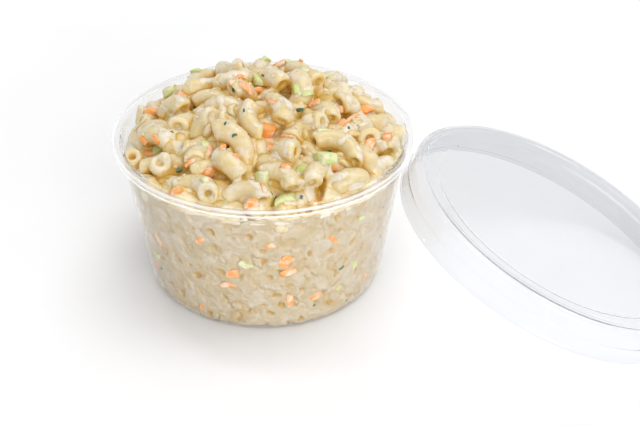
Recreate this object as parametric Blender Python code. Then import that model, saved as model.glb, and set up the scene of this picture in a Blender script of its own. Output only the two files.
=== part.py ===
"""Macaroni salad heaped in a round clear cup, with the cup's clear lid leaning against its side.

Every size is in millimetres and is turned into metres where a mesh is made.
The cup stands on the floor at the origin, and the view of the picture looks along +Y.
"""

import math

import bmesh
import bpy
import numpy as np
from mathutils import Matrix, Vector

MM = 0.001

# Cup
RIM_RADIUS = 58.5
CUP_HEIGHT = 62.0
RIM_DROP = 2.6
RIM_ROUND = 0.7
LIP_THICK = 0.9
SHOULDER_Z = 57.2
SHOULDER_RADIUS = 55.4
WALL_TOP_Z = 54.0
WALL_TOP_RADIUS = 54.6
WALL_LOW_Z = 3.4
WALL_LOW_RADIUS = 47.9
FOOT_RADIUS = 46.4
FOOT_ROUND = 1.4
WALL_THICK = 0.8
BASE_THICK = 0.9
CUP_SIDES = 60

# Lid, measured from the plane of its open edge
LID_LIP_RADIUS = 61.4
LID_LIP_HEIGHT = 1.2
LID_SKIRT_RADIUS = 60.8
LID_BEAD_HEIGHT = 6.6
LID_BEAD_OUT = 0.4
LID_SHOULDER_HEIGHT = 13.1
LID_RING_OUTSIDE = 59.4
LID_RING_INSIDE = 57.0
LID_RING_HEIGHT = 14.0
LID_STEP_RADIUS = 50.6
LID_PANEL_HEIGHT = 12.4
LID_THICK = 0.6
LID_SIDES = 50
LID_LEAN = 23.3
LID_CENTRE_X = 108.4
LID_CENTRE_Y = -23.5

# Heap
HEAP_EDGE_Z = 57.0
HEAP_RISE = 20.5
HEAP_PEAK_Y = 8.0
HEAP_WALL = 54.0
WALL_GAP = 0.5
FLOOR_GAP = 0.6
CORE_BELOW_TOP = 4.6
CORE_BEHIND_WALL = 2.2
CORE_UNEVEN = 0.8
CORE_SIDES = 30
CORE_RINGS = 5
CORE_LEVELS = 5

# Elbow noodles
TUBE_RADIUS = 4.3
HOLE_RADIUS = 1.9
HOLE_DEPTH = 3.0
SHOWN_SIDES = 7
SHOWN_STEPS = 4
FILLER_SIDES = 6
FILLER_STEPS = 3
FILLER_SPACING = 10.3
FILLER_REACH = 47.0
FILLER_SEED = 7
TRIES = 900
WALL_ROWS = ((11.0, 7), (24.5, 7), (38.0, 7), (50.0, 7))
WALL_SEED = 11
SETTLE_ROUNDS = 60
BALLS = 6
CROSSING = 1.2
SHOWN_FREEDOM = 0.15

# Chopped vegetables
CHOPPED_COUNT = 16
CHOPPED_REACH = 43.0
CHOPPED_SEED = 13

GOLDEN_ANGLE = math.pi * (3.0 - math.sqrt(5.0))

# The elbows that stand out: name, middle of the bend (x, y), its lift over the heap's surface,
# then the lean about the chord, the dip and the heading in degrees, the bend radius and the arc.
ELBOWS = (
    ("big_curl", -8, -27, 1.0, 40, 35, -65, 10.0, 140),
    ("behind_curl", -12, -5, -1.5, 105, 5, -5, 9.0, 115),
    ("left_of_curl", -22, -13, -1.5, 40, -60, -15, 8.0, 90),
    ("front_of_curl", -10, -35, -1.0, 120, 15, -60, 8.0, 90),
    ("front_left", -22, -38, -3.5, 5, -15, -30, 9.5, 120),
    ("front_far_left", -35, -28, -3.0, -50, 55, 40, 8.0, 90),
    ("front_low", -4, -43, -1.5, 40, -10, -20, 8.5, 110),
    ("front_mid", 8, -37, -1.5, 35, 0, -30, 8.5, 110),
    ("small_curl", 8, -28, -2.0, 55, 60, 120, 8.5, 110),
    ("round_end", 20, -36, 0.0, 30, 10, 60, 8.5, 80),
    ("smooth_right", 30, -36, -0.5, 115, -20, 15, 9.0, 115),
    ("right_arch", 29, -19, 0.5, 15, 15, -25, 9.0, 135),
    ("flat_ring", 39, -8, -2.0, -75, 0, -60, 7.5, 85),
    ("edge_ring", 44, -7, -3.0, 105, 35, 120, 8.5, 110),
    ("right_mid", 33, 8, -1.5, 115, 50, 50, 8.5, 90),
    ("hole_mid", 22, -4, -1.5, 130, 15, 130, 8.5, 90),
    ("round_mid", 7, -10, 0.0, 170, -5, 115, 8.5, 80),
    ("back_round", -7, 3, -1.0, 90, 50, 45, 8.5, 100),
    ("long_right", 13, 18, -1.0, 5, -5, -5, 9.0, 115),
    ("chunk_right", 25, 33, 0.0, 60, 15, 60, 8.5, 105),
    ("top_right", 10, 35, 0.5, 30, -10, -30, 8.5, 105),
    ("top_left", -26, 31, 1.5, 25, 0, 45, 8.5, 110),
    ("upper_left", -35, 4, 0.0, 65, -30, -40, 8.5, 100),
    ("left_arch", -38, -12, -1.0, 80, 0, -40, 9.0, 125),
)


def clear_scene():
    """Removes every object that the start-up scene holds."""
    for obj in list(bpy.data.objects):
        bpy.data.objects.remove(obj, do_unlink=True)


def make_material(name, colour, roughness, alpha=1.0):
    """A Principled material in one colour."""
    material = bpy.data.materials.new(name)
    material.use_nodes = True
    shader = material.node_tree.nodes["Principled BSDF"]
    shader.inputs["Base Color"].default_value = (*colour, 1.0)
    shader.inputs["Roughness"].default_value = roughness
    shader.inputs["Metallic"].default_value = 0.0
    shader.inputs["Alpha"].default_value = alpha
    material.diffuse_color = (*colour, alpha)
    return material


def mesh_object(name, points, edges, faces, group):
    """An object in a collection, from points in millimetres."""
    mesh = bpy.data.meshes.new(name)
    mesh.from_pydata([tuple(float(c) * MM for c in point) for point in points], edges, faces)
    mesh.update()
    obj = bpy.data.objects.new(name, mesh)
    group.objects.link(obj)
    return obj


def turned(name, profile, sides, material):
    """A solid turned from (radius, height) pairs that run down its outer side."""
    points = [(radius, 0.0, height) for radius, height in profile]
    edges = [(i, i + 1) for i in range(len(points) - 1)]
    obj = mesh_object(name, points, edges, [], bpy.context.scene.collection)
    obj.data.materials.append(material)
    screw = obj.modifiers.new("turn", "SCREW")
    screw.axis = "Z"
    screw.steps = sides
    screw.render_steps = sides
    screw.use_merge_vertices = True
    screw.merge_threshold = 0.00001
    screw.use_smooth_shade = True
    return obj


def wall_inside(z):
    """Inner radius of the cup's wall at a height."""
    heights = (0.0, WALL_LOW_Z, WALL_TOP_Z, SHOULDER_Z, CUP_HEIGHT)
    radii = (FOOT_RADIUS, WALL_LOW_RADIUS, WALL_TOP_RADIUS, SHOULDER_RADIUS, SHOULDER_RADIUS)
    return np.interp(z, heights, radii) - WALL_THICK


def cup_profile():
    """The cup's section, from the middle of its floor up the inside, over the rim and down to the foot."""
    inside_low = WALL_LOW_RADIUS - WALL_THICK
    inside_top = WALL_TOP_RADIUS - WALL_THICK
    inside_shoulder = SHOULDER_RADIUS - WALL_THICK
    lip_inside = RIM_RADIUS - LIP_THICK
    rim_low = CUP_HEIGHT - RIM_DROP
    under_rim = CUP_HEIGHT - LIP_THICK
    return [
        (0.0, BASE_THICK),
        (FOOT_RADIUS - 2.2, BASE_THICK),
        (FOOT_RADIUS - 0.5, BASE_THICK + 0.8),
        (inside_low, WALL_LOW_Z + 0.4),
        (inside_top, WALL_TOP_Z + 0.4),
        (inside_shoulder, SHOULDER_Z),
        (inside_shoulder + 0.1, CUP_HEIGHT - RIM_ROUND),
        (SHOULDER_RADIUS, CUP_HEIGHT),
        (RIM_RADIUS - RIM_ROUND, CUP_HEIGHT),
        (RIM_RADIUS, CUP_HEIGHT - RIM_ROUND),
        (RIM_RADIUS, rim_low),
        (lip_inside, rim_low),
        (lip_inside, under_rim),
        (SHOULDER_RADIUS + 0.1, under_rim - 0.2),
        (SHOULDER_RADIUS, SHOULDER_Z),
        (WALL_TOP_RADIUS, WALL_TOP_Z),
        (WALL_LOW_RADIUS, WALL_LOW_Z),
        (FOOT_RADIUS, FOOT_ROUND * 0.7),
        (FOOT_RADIUS - FOOT_ROUND, 0.0),
        (0.0, 0.0),
    ]


def lid_profile():
    """The lid's section, from the middle of its panel over the ring and down the skirt, then back up inside."""
    inside_skirt = LID_SKIRT_RADIUS - LID_THICK
    under_ring = LID_RING_HEIGHT - LID_THICK
    under_shoulder = LID_SHOULDER_HEIGHT - LID_THICK
    return [
        (0.0, LID_PANEL_HEIGHT),
        (LID_STEP_RADIUS, LID_PANEL_HEIGHT),
        (LID_STEP_RADIUS + 0.9, LID_SHOULDER_HEIGHT),
        (LID_RING_INSIDE - 0.4, LID_SHOULDER_HEIGHT),
        (LID_RING_INSIDE, LID_RING_HEIGHT),
        (LID_RING_OUTSIDE, LID_RING_HEIGHT),
        (LID_RING_OUTSIDE + 0.3, LID_SHOULDER_HEIGHT),
        (LID_SKIRT_RADIUS - 0.2, LID_SHOULDER_HEIGHT),
        (LID_SKIRT_RADIUS + 0.3, LID_SHOULDER_HEIGHT - 0.8),
        (LID_SKIRT_RADIUS, LID_BEAD_HEIGHT + 1.0),
        (LID_SKIRT_RADIUS + LID_BEAD_OUT, LID_BEAD_HEIGHT),
        (LID_SKIRT_RADIUS, LID_BEAD_HEIGHT - 1.0),
        (LID_SKIRT_RADIUS, LID_LIP_HEIGHT + 0.4),
        (LID_LIP_RADIUS, LID_LIP_HEIGHT),
        (LID_LIP_RADIUS, 0.0),
        (inside_skirt, 0.0),
        (inside_skirt, under_shoulder - 0.8),
        (inside_skirt - 0.8, under_shoulder),
        (LID_RING_OUTSIDE - 0.4, under_shoulder),
        (LID_RING_OUTSIDE - 0.6, under_ring),
        (LID_RING_INSIDE + 0.6, under_ring),
        (LID_RING_INSIDE + 0.2, under_shoulder),
        (LID_STEP_RADIUS + 0.8, under_shoulder),
        (LID_STEP_RADIUS - 0.1, LID_PANEL_HEIGHT - LID_THICK),
        (0.0, LID_PANEL_HEIGHT - LID_THICK),
    ]


def lid_matrix():
    """Puts the lid's lowest edge on the floor and leans its far side against the cup."""
    lean = math.radians(LID_LEAN)
    height = LID_LIP_RADIUS * math.sin(lean)
    place = Matrix.Translation(Vector((LID_CENTRE_X, LID_CENTRE_Y, height)) * MM)
    return place @ Matrix.Rotation(lean, 4, "Y")


def heap_height(x, y):
    """Height of the heap's mean surface over a place in the cup."""
    far = np.hypot(x, y - HEAP_PEAK_Y) + 1e-6
    toward = HEAP_PEAK_Y * (y - HEAP_PEAK_Y) / far
    reach = -toward + np.sqrt(toward**2 + HEAP_WALL**2 - HEAP_PEAK_Y**2)
    share = np.clip(far / reach, 0.0, 1.0)
    return HEAP_EDGE_Z + HEAP_RISE * (1.0 - share**2)


def turn_matrix(lean, dip, heading):
    """Rotation by a lean about X, then a dip about Y, then a heading about Z, in degrees."""
    about_x = Matrix.Rotation(math.radians(lean), 3, "X")
    about_y = Matrix.Rotation(math.radians(dip), 3, "Y")
    about_z = Matrix.Rotation(math.radians(heading), 3, "Z")
    return np.array(about_z @ about_y @ about_x)


def elbow_line(bend, arc, count):
    """Points and directions along an elbow's centre line, with its middle at the origin."""
    angles = math.radians(arc) / 2.0 * np.linspace(-1.0, 1.0, count)
    zero = np.zeros(count)
    points = np.stack([bend * np.sin(angles), bend * (np.cos(angles) - 1.0), zero], 1)
    along = np.stack([np.cos(angles), -np.sin(angles), zero], 1)
    return points, along


def elbow_mesh(bend, arc, sides, steps, open_ends):
    """Points and faces of a bent tube, its ends closed or open to a short depth."""
    points, along = elbow_line(bend, arc, steps + 1)
    upright = np.array([0.0, 0.0, 1.0])
    rings = [(centre, direction, TUBE_RADIUS) for centre, direction in zip(points, along)]
    if open_ends:
        first = points[0] + along[0] * HOLE_DEPTH
        last = points[-1] - along[-1] * HOLE_DEPTH
        rings = [(first, along[0], HOLE_RADIUS * 0.8), (points[0], along[0], HOLE_RADIUS)] + rings
        rings += [(points[-1], along[-1], HOLE_RADIUS), (last, along[-1], HOLE_RADIUS * 0.8)]
    vertices = []
    for centre, direction, size in rings:
        across = np.cross(direction, upright)
        for j in range(sides):
            angle = 2.0 * math.pi * j / sides
            vertices.append(centre + size * (math.cos(angle) * across + math.sin(angle) * upright))
    faces = []
    for i in range(len(rings) - 1):
        for j in range(sides):
            a = i * sides + j
            b = i * sides + (j + 1) % sides
            faces.append((a, a + sides, b + sides, b))
    end = (len(rings) - 1) * sides
    faces.append(tuple(range(sides)))
    faces.append(tuple(reversed(range(end, end + sides))))
    return np.array(vertices), faces


def shown_elbows():
    """The elbows that stand out, from the table."""
    places = []
    for name, x, y, lift, lean, dip, heading, bend, arc in ELBOWS:
        middle = np.array([x, y, float(heap_height(x, y)) + lift])
        turn = turn_matrix(lean, dip, heading)
        places.append({"name": name, "middle": middle, "turn": turn, "bend": bend, "arc": arc})
    return places


def filler_elbows(shown):
    """Elbows for the parts of the heap that the table leaves bare, spread by distance."""
    rng = np.random.default_rng(FILLER_SEED)
    taken = [place["middle"][:2] for place in shown]
    places = []
    for i in range(TRIES):
        radius = FILLER_REACH * math.sqrt((i + 0.5) / TRIES)
        spot = np.array([radius * math.cos(i * GOLDEN_ANGLE), radius * math.sin(i * GOLDEN_ANGLE)])
        nearest = min(float(np.hypot(*(spot - other))) for other in taken)
        if nearest < FILLER_SPACING:
            continue
        taken.append(spot)
        middle = np.array([*spot, float(heap_height(*spot)) - 2.0])
        turn = turn_matrix(rng.uniform(-40, 110), rng.uniform(-25, 25), rng.uniform(0, 360))
        bend = rng.uniform(8.0, 9.4)
        arc = rng.uniform(95, 125)
        name = f"filler_{len(places)}"
        places.append({"name": name, "middle": middle, "turn": turn, "bend": bend, "arc": arc})
    return places


def wall_elbows():
    """Elbows pressed flat against the inside of the wall, in staggered rows."""
    rng = np.random.default_rng(WALL_SEED)
    slant = math.atan2(WALL_TOP_RADIUS - WALL_LOW_RADIUS, WALL_TOP_Z - WALL_LOW_Z)
    places = []
    for row, (row_z, count) in enumerate(WALL_ROWS):
        for i in range(count):
            around = 2.0 * math.pi * (i + 0.5 * (row % 2)) / count + rng.uniform(-0.12, 0.12)
            z = row_z + rng.uniform(-2.5, 2.5)
            radius = float(wall_inside(z)) - WALL_GAP - TUBE_RADIUS * 0.9
            out = np.array([math.cos(around), math.sin(around), 0.0])
            side = np.array([-math.sin(around), math.cos(around), 0.0])
            up = np.array([0.0, 0.0, math.cos(slant)]) + out * math.sin(slant)
            normal = np.cross(side, up)
            heading = rng.uniform(0.0, 2.0 * math.pi)
            first = math.cos(heading) * side + math.sin(heading) * up
            turn = np.stack([first, np.cross(normal, first), normal], 1)
            middle = out * radius + np.array([0.0, 0.0, z])
            name = f"wall_{row}_{i}"
            places.append({"name": name, "middle": middle, "turn": turn, "bend": 9.0, "arc": 100.0})
    return places


def settle(places, freedom):
    """Moves and turns elbows apart until few of them cross, each as freely as its share allows."""
    local = np.array([elbow_line(place["bend"], place["arc"], BALLS)[0] for place in places])
    spin = np.array([place["turn"] for place in places])
    middle = np.array([place["middle"] for place in places])
    owner = np.repeat(np.arange(len(places)), BALLS)
    same = owner[:, None] == owner[None, :]
    nearest = 2.0 * TUBE_RADIUS - CROSSING
    for _ in range(SETTLE_ROUNDS):
        balls = np.einsum("nij,nkj->nki", spin, local) + middle[:, None, :]
        flat = balls.reshape(-1, 3)
        gaps = flat[:, None, :] - flat[None, :, :]
        far = np.sqrt((gaps**2).sum(2)) + 1e-9
        overlap = np.where(same, 0.0, np.maximum(0.0, nearest - far))
        push = (gaps / far[..., None] * overlap[..., None]).sum(1) * 0.22
        surface = heap_height(flat[:, 0], flat[:, 1])
        push[:, 2] += 0.10 * np.minimum(0.0, surface - flat[:, 2])
        push[:, 2] += 0.06 * np.maximum(0.0, surface - 7.0 - flat[:, 2])
        radial = np.hypot(flat[:, 0], flat[:, 1])
        too_far = np.maximum(0.0, radial - wall_inside(flat[:, 2]) + WALL_GAP + TUBE_RADIUS)
        push[:, :2] -= flat[:, :2] / radial[:, None] * too_far[:, None] * 0.8
        push = push.reshape(balls.shape) * freedom[:, None, None]
        shift = push.mean(1)
        middle = middle + shift
        arm = balls - balls.mean(1)[:, None, :]
        torque = np.cross(arm, push - shift[:, None, :]).sum(1)
        inertia = (arm**2).sum((1, 2))[:, None] + 1.0
        for i, turn in enumerate(torque / inertia):
            angle = float(np.linalg.norm(turn))
            if angle > 1e-7:
                spin[i] = np.array(Matrix.Rotation(angle, 3, Vector(turn))) @ spin[i]
    for i, place in enumerate(places):
        place["turn"] = spin[i]
        place["middle"] = middle[i]


def inside_cup(points):
    """Points drawn in so that they stay clear of the cup's wall and floor."""
    points = points.copy()
    points[:, 2] = np.maximum(points[:, 2], BASE_THICK + FLOOR_GAP)
    radial = np.hypot(points[:, 0], points[:, 1])
    corner = np.minimum(0.0, points[:, 2] - BASE_THICK - 4.0) * 0.6
    most = wall_inside(np.maximum(points[:, 2], WALL_LOW_Z)) - WALL_GAP + corner
    points[:, :2] *= np.minimum(1.0, most / np.maximum(radial, 1e-6))[:, None]
    return points


def core_rows(rng):
    """Rings of the core as lists of (x, y, z), from its foot up the wall and over the top."""
    angles = 2.0 * math.pi * np.arange(CORE_SIDES) / CORE_SIDES
    low = BASE_THICK + FLOOR_GAP
    rows = []
    for z in np.linspace(low, HEAP_EDGE_Z - CORE_BELOW_TOP, CORE_LEVELS + 1):
        uneven = rng.uniform(-CORE_UNEVEN, CORE_UNEVEN, CORE_SIDES)
        radius = wall_inside(max(z, WALL_LOW_Z)) - CORE_BEHIND_WALL + uneven
        if z == low:
            radius = radius - 3.0
        rows.append(np.stack([radius * np.cos(angles), radius * np.sin(angles), np.full(CORE_SIDES, z)], 1))
    for i in range(1, CORE_RINGS):
        radius = (1.0 - i / CORE_RINGS) * (WALL_TOP_RADIUS - 4.0)
        x = radius * np.cos(angles)
        y = radius * np.sin(angles)
        uneven = rng.uniform(-CORE_UNEVEN, CORE_UNEVEN, CORE_SIDES)
        rows.append(np.stack([x, y, heap_height(x, y) - CORE_BELOW_TOP + uneven], 1))
    return rows


def core_mesh(rng):
    """The mass of salad under the pieces that show: uneven, and a little smaller all round."""
    rows = core_rows(rng)
    foot = np.array([[0.0, 0.0, BASE_THICK + FLOOR_GAP]])
    peak = np.array([[0.0, 0.0, float(heap_height(0.0, 0.0)) - CORE_BELOW_TOP]])
    points = np.concatenate(rows + [foot, peak])
    faces = []
    for i in range(len(rows) - 1):
        for j in range(CORE_SIDES):
            a = i * CORE_SIDES + j
            b = i * CORE_SIDES + (j + 1) % CORE_SIDES
            faces.append((a, b, b + CORE_SIDES, a + CORE_SIDES))
    foot_index = len(rows) * CORE_SIDES
    last = (len(rows) - 1) * CORE_SIDES
    for j in range(CORE_SIDES):
        k = (j + 1) % CORE_SIDES
        faces.append((foot_index, k, j))
        faces.append((foot_index + 1, last + j, last + k))
    return points, faces


def block_mesh(length, width, thick, rng):
    """A chopped piece: a box with uneven corners."""
    corners = [(x, y, z) for x in (-0.5, 0.5) for y in (-0.5, 0.5) for z in (-0.5, 0.5)]
    size = np.array([length, width, thick])
    points = np.array(corners) * size * rng.uniform(0.78, 1.0, (8, 3))
    faces = [(0, 1, 3, 2), (4, 6, 7, 5), (0, 4, 5, 1), (2, 3, 7, 6), (0, 2, 6, 4), (1, 5, 7, 3)]
    return points, faces


def add_elbows(group, places, sides, steps, open_ends):
    """Adds elbows to the collection that the core takes in."""
    for place in places:
        points, faces = elbow_mesh(place["bend"], place["arc"], sides, steps, open_ends)
        points = inside_cup(points @ place["turn"].T + place["middle"])
        mesh_object(place["name"], points, [], faces, group)


def add_chopped(group):
    """Adds strips of carrot and dice of celery, every other one a strip."""
    rng = np.random.default_rng(CHOPPED_SEED)
    for i in range(CHOPPED_COUNT):
        radius = CHOPPED_REACH * math.sqrt((i + 0.5) / CHOPPED_COUNT)
        x = radius * math.cos(i * GOLDEN_ANGLE)
        y = radius * math.sin(i * GOLDEN_ANGLE)
        middle = np.array([x, y, float(heap_height(x, y)) - rng.uniform(0.0, 1.6)])
        if i % 2 == 0:
            points, faces = block_mesh(rng.uniform(7.0, 11.0), 2.2, 1.6, rng)
        else:
            points, faces = block_mesh(rng.uniform(4.5, 6.5), 4.2, 3.0, rng)
        turn = turn_matrix(rng.uniform(-30, 30), rng.uniform(-30, 30), rng.uniform(0, 360))
        mesh_object(f"chopped_{i}", inside_cup(points @ turn.T + middle), [], faces, group)


def shells_of(work):
    """The separate shells of a bmesh as lists of vertices, largest first."""
    seen = set()
    shells = []
    for start in work.verts:
        if start in seen:
            continue
        seen.add(start)
        shell = []
        stack = [start]
        while stack:
            vert = stack.pop()
            shell.append(vert)
            others = [edge.other_vert(vert) for edge in vert.link_edges]
            fresh = [other for other in others if other not in seen]
            seen.update(fresh)
            stack.extend(fresh)
        shells.append(shell)
    return sorted(shells, key=len, reverse=True)


def keep_outer_shell(mesh):
    """Keeps the largest shell, so that a sealed hollow is filled and a loose scrap dropped."""
    work = bmesh.new()
    work.from_mesh(mesh)
    for shell in shells_of(work)[1:]:
        bmesh.ops.delete(work, geom=shell, context="VERTS")
    bmesh.ops.dissolve_degenerate(work, dist=1e-6, edges=work.edges[:])
    bmesh.ops.triangulate(work, faces=work.faces[:])
    work.to_mesh(mesh)
    work.free()
    mesh.update()


def build_salad(material):
    """The heap as one solid: a core with elbows and chopped pieces fused on."""
    shown = shown_elbows()
    fill = filler_elbows(shown)
    freedom = np.array([SHOWN_FREEDOM] * len(shown) + [1.0] * len(fill))
    settle(shown + fill, freedom)
    group = bpy.data.collections.new("pieces")
    bpy.context.scene.collection.children.link(group)
    add_elbows(group, shown, SHOWN_SIDES, SHOWN_STEPS, True)
    add_elbows(group, fill, FILLER_SIDES, FILLER_STEPS, True)
    add_elbows(group, wall_elbows(), FILLER_SIDES, FILLER_STEPS, False)
    add_chopped(group)
    points, faces = core_mesh(np.random.default_rng(CHOPPED_SEED + 1))
    salad = mesh_object("salad", points, [], faces, bpy.context.scene.collection)
    salad.data.materials.append(material)
    join = salad.modifiers.new("join", "BOOLEAN")
    join.operation = "UNION"
    join.operand_type = "COLLECTION"
    join.collection = group
    join.solver = "MANIFOLD"
    bpy.context.view_layer.objects.active = salad
    salad.select_set(True)
    bpy.ops.object.modifier_apply(modifier=join.name)
    for obj in list(group.objects):
        bpy.data.objects.remove(obj, do_unlink=True)
    bpy.data.collections.remove(group)
    keep_outer_shell(salad.data)
    return salad


def main():
    """Builds the cup, the heap and the lid."""
    clear_scene()
    clear_plastic = make_material("clear_plastic", (0.93, 0.94, 0.94), 0.08, 0.25)
    lid_plastic = make_material("lid_plastic", (0.92, 0.93, 0.94), 0.08, 0.25)
    dressed_pasta = make_material("dressed_pasta", (0.80, 0.66, 0.45), 0.42)
    turned("cup", cup_profile(), CUP_SIDES, clear_plastic)
    build_salad(dressed_pasta)
    lid = turned("lid", lid_profile(), LID_SIDES, lid_plastic)
    lid.matrix_world = lid_matrix()


main()
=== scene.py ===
"""Macaroni salad heaped in a round clear cup, with the cup's clear lid leaning against its side.

Sizes are in millimetres and are turned into metres where a mesh is written.
"""

import logging
import math
from collections.abc import Sequence
from dataclasses import dataclass, field
from enum import Enum
from typing import Any

import bpy
import numpy as np
from mathutils import Matrix, Vector, noise
from mathutils.bvhtree import BVHTree
from mathutils.kdtree import KDTree


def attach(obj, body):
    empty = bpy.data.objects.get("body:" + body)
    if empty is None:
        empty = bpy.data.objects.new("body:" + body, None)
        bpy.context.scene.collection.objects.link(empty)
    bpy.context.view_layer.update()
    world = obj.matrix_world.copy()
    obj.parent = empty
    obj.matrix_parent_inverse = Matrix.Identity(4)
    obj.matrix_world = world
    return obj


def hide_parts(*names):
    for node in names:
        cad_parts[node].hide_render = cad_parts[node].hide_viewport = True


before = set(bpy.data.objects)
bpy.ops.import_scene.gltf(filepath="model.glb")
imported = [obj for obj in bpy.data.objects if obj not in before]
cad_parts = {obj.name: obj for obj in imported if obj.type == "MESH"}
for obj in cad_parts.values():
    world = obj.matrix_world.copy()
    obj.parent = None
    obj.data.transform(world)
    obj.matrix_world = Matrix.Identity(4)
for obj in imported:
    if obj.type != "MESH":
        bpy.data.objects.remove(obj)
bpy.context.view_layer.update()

log = logging.getLogger("macaroni_salad")

MM = 0.001
GOLDEN_ANGLE = math.pi * (3.0 - math.sqrt(5.0))
Corner = tuple[float, float, float]
Colour = tuple[float, float, float]
Faces = list[tuple[int, ...]]
Socket = bpy.types.NodeSocket
Values = dict[str | int, object]


def linear(colour: Colour) -> tuple[float, float, float, float]:
    """Turns an 8-bit display colour into the linear colour that a socket takes.

    Args:
        colour: red, green and blue from 0 to 255.

    Returns:
        Linear red, green, blue and an alpha of 1.
    """
    shares = [channel / 255.0 for channel in colour]
    values = [c / 12.92 if c <= 0.04045 else ((c + 0.055) / 1.055) ** 2.4 for c in shares]
    return (values[0], values[1], values[2], 1.0)


def deselect_all() -> None:
    """Leaves no object selected, so that an operator acts on the new piece alone."""
    bpy.ops.object.select_all(action="DESELECT")


def edit_mode(on: bool) -> None:
    """Enters or leaves edit mode on the active object."""
    bpy.ops.object.mode_set(mode="EDIT" if on else "OBJECT")


def lumps(points: np.ndarray, size: float, seed: float, octaves: int = 2) -> np.ndarray:
    """Smooth noise from about -1 to 1 at each point.

    Args:
        points: places in millimetres.
        size: width of one lump in millimetres.
        seed: offset that sets one field apart from another.
        octaves: how many finer layers are added.

    Returns:
        One value for each point.
    """
    offset = Vector((seed * 17.3, seed * 5.1, seed * 11.9))
    return np.array([noise.fractal(Vector(point) / size + offset, 1.0, 2.0, octaves) for point in points.tolist()])


def smooth_share(values: np.ndarray, low: float, high: float) -> np.ndarray:
    """Eases values from 0 at low to 1 at high."""
    share = np.clip((values - low) / (high - low), 0.0, 1.0)
    return share * share * (3.0 - 2.0 * share)


def rounded(corners: Sequence[Corner], steps: int = 4) -> list[tuple[float, float]]:
    """Rounds the corners of a turned section.

    Args:
        corners: (radius, height, rounding) of each corner.
        steps: how many short edges replace a corner.

    Returns:
        (radius, height) pairs along the rounded section.
    """
    places = [np.array(corner[:2]) for corner in corners]
    section = [places[0]]
    for i in range(1, len(corners) - 1):
        here = places[i]
        back = places[i - 1] - here
        ahead = places[i + 1] - here
        near = float(np.hypot(*back))
        far = float(np.hypot(*ahead))
        cut = min(corners[i][2], 0.45 * near, 0.45 * far)
        if cut < 0.02:
            section.append(here)
            continue
        start = here + back / near * cut
        end = here + ahead / far * cut
        for t in np.linspace(0.0, 1.0, steps + 1):
            section.append((1.0 - t) ** 2 * start + 2.0 * t * (1.0 - t) * here + t**2 * end)
    section.append(places[-1])
    return [(float(radius), float(height)) for radius, height in section]


def turned_piece(name: str, section: Sequence[tuple[float, float]], sides: int) -> bpy.types.Object:
    """Models a turned solid: a ring is extruded and scaled along a section, and both ends are closed.

    Args:
        name: name of the new object.
        section: (radius, height) pairs in millimetres, from one pole to the other.
        sides: how many sides a ring has.

    Returns:
        The closed solid, its faces pointing outwards.
    """
    deselect_all()
    radius, height = section[0]
    bpy.ops.mesh.primitive_circle_add(vertices=sides, radius=radius * MM, location=(0.0, 0.0, height * MM))
    piece = bpy.context.active_object
    piece.name = name
    bpy.ops.object.transform_apply(location=True, rotation=True, scale=True)
    edit_mode(True)
    bpy.ops.mesh.select_all(action="SELECT")
    for next_radius, next_height in section[1:]:
        rise = (0.0, 0.0, (next_height - height) * MM)
        bpy.ops.mesh.extrude_region_move(TRANSFORM_OT_translate={"value": rise})
        share = next_radius / radius
        bpy.ops.transform.resize(value=(share, share, 1.0), center_override=(0.0, 0.0, next_height * MM))
        radius = next_radius
        height = next_height
    bpy.ops.mesh.select_all(action="DESELECT")
    bpy.ops.mesh.select_mode(type="VERT")
    bpy.ops.mesh.select_non_manifold()
    bpy.ops.mesh.edge_face_add()
    bpy.ops.mesh.poke()
    bpy.ops.mesh.select_all(action="SELECT")
    bpy.ops.mesh.normals_make_consistent(inside=False)
    edit_mode(False)
    bpy.ops.object.shade_smooth()
    return piece


def points_of(piece: bpy.types.Object) -> np.ndarray:
    """Vertices of a piece in millimetres."""
    flat = np.empty(len(piece.data.vertices) * 3)
    piece.data.vertices.foreach_get("co", flat)
    return flat.reshape(-1, 3) / MM


def move_points(piece: bpy.types.Object, points: np.ndarray) -> None:
    """Writes vertices in millimetres back to a piece."""
    piece.data.vertices.foreach_set("co", (points * MM).ravel())
    piece.data.update()


def faces_of(piece: bpy.types.Object) -> Faces:
    """Faces of a piece as lists of vertex numbers."""
    return [tuple(face.vertices) for face in piece.data.polygons]


@dataclass(frozen=True)
class Pattern:
    """A modelled piece as arrays, ready to be copied many times."""

    points: np.ndarray
    faces: Faces

    @staticmethod
    def taken_from(piece: bpy.types.Object) -> "Pattern":
        """Reads a modelled piece and removes it.

        Args:
            piece: the piece that was modelled once.

        Returns:
            Its vertices and faces.
        """
        pattern = Pattern(points_of(piece), faces_of(piece))
        bpy.data.objects.remove(piece, do_unlink=True)
        return pattern


class Batch:
    """Copies of patterns, gathered and then joined as one mesh."""

    def __init__(self, name: str) -> None:
        """Starts an empty batch with the name of the joined piece."""
        self.name = name
        self.points: list[np.ndarray] = []
        self.shades: list[np.ndarray] = []
        self.faces: Faces = []
        self.count = 0

    def add(self, points: np.ndarray, faces: Faces, shades: np.ndarray) -> None:
        """Adds one copy.

        Args:
            points: its vertices in millimetres.
            faces: its faces.
            shades: tone, inside and deep of each vertex, from 0 to 1; deep and the noodles' inside carry painted
                shade.
        """
        self.points.append(points)
        self.shades.append(shades)
        self.faces.extend(tuple(v + self.count for v in face) for face in faces)
        self.count += len(points)

    def tree(self) -> BVHTree:
        """A search tree of the joined faces, in millimetres."""
        return BVHTree.FromPolygons(np.concatenate(self.points).tolist(), self.faces)

    def joined(self) -> bpy.types.Object:
        """Makes the one mesh, smooth and with its shades as a colour attribute."""
        mesh = bpy.data.meshes.new(self.name)
        points = np.concatenate(self.points)
        mesh.from_pydata((points * MM).tolist(), [], self.faces)
        mesh.update()
        piece = bpy.data.objects.new(self.name, mesh)
        bpy.context.scene.collection.objects.link(piece)
        write_shades(piece, np.concatenate(self.shades))
        for face in mesh.polygons:
            face.use_smooth = True
        return piece


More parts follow.
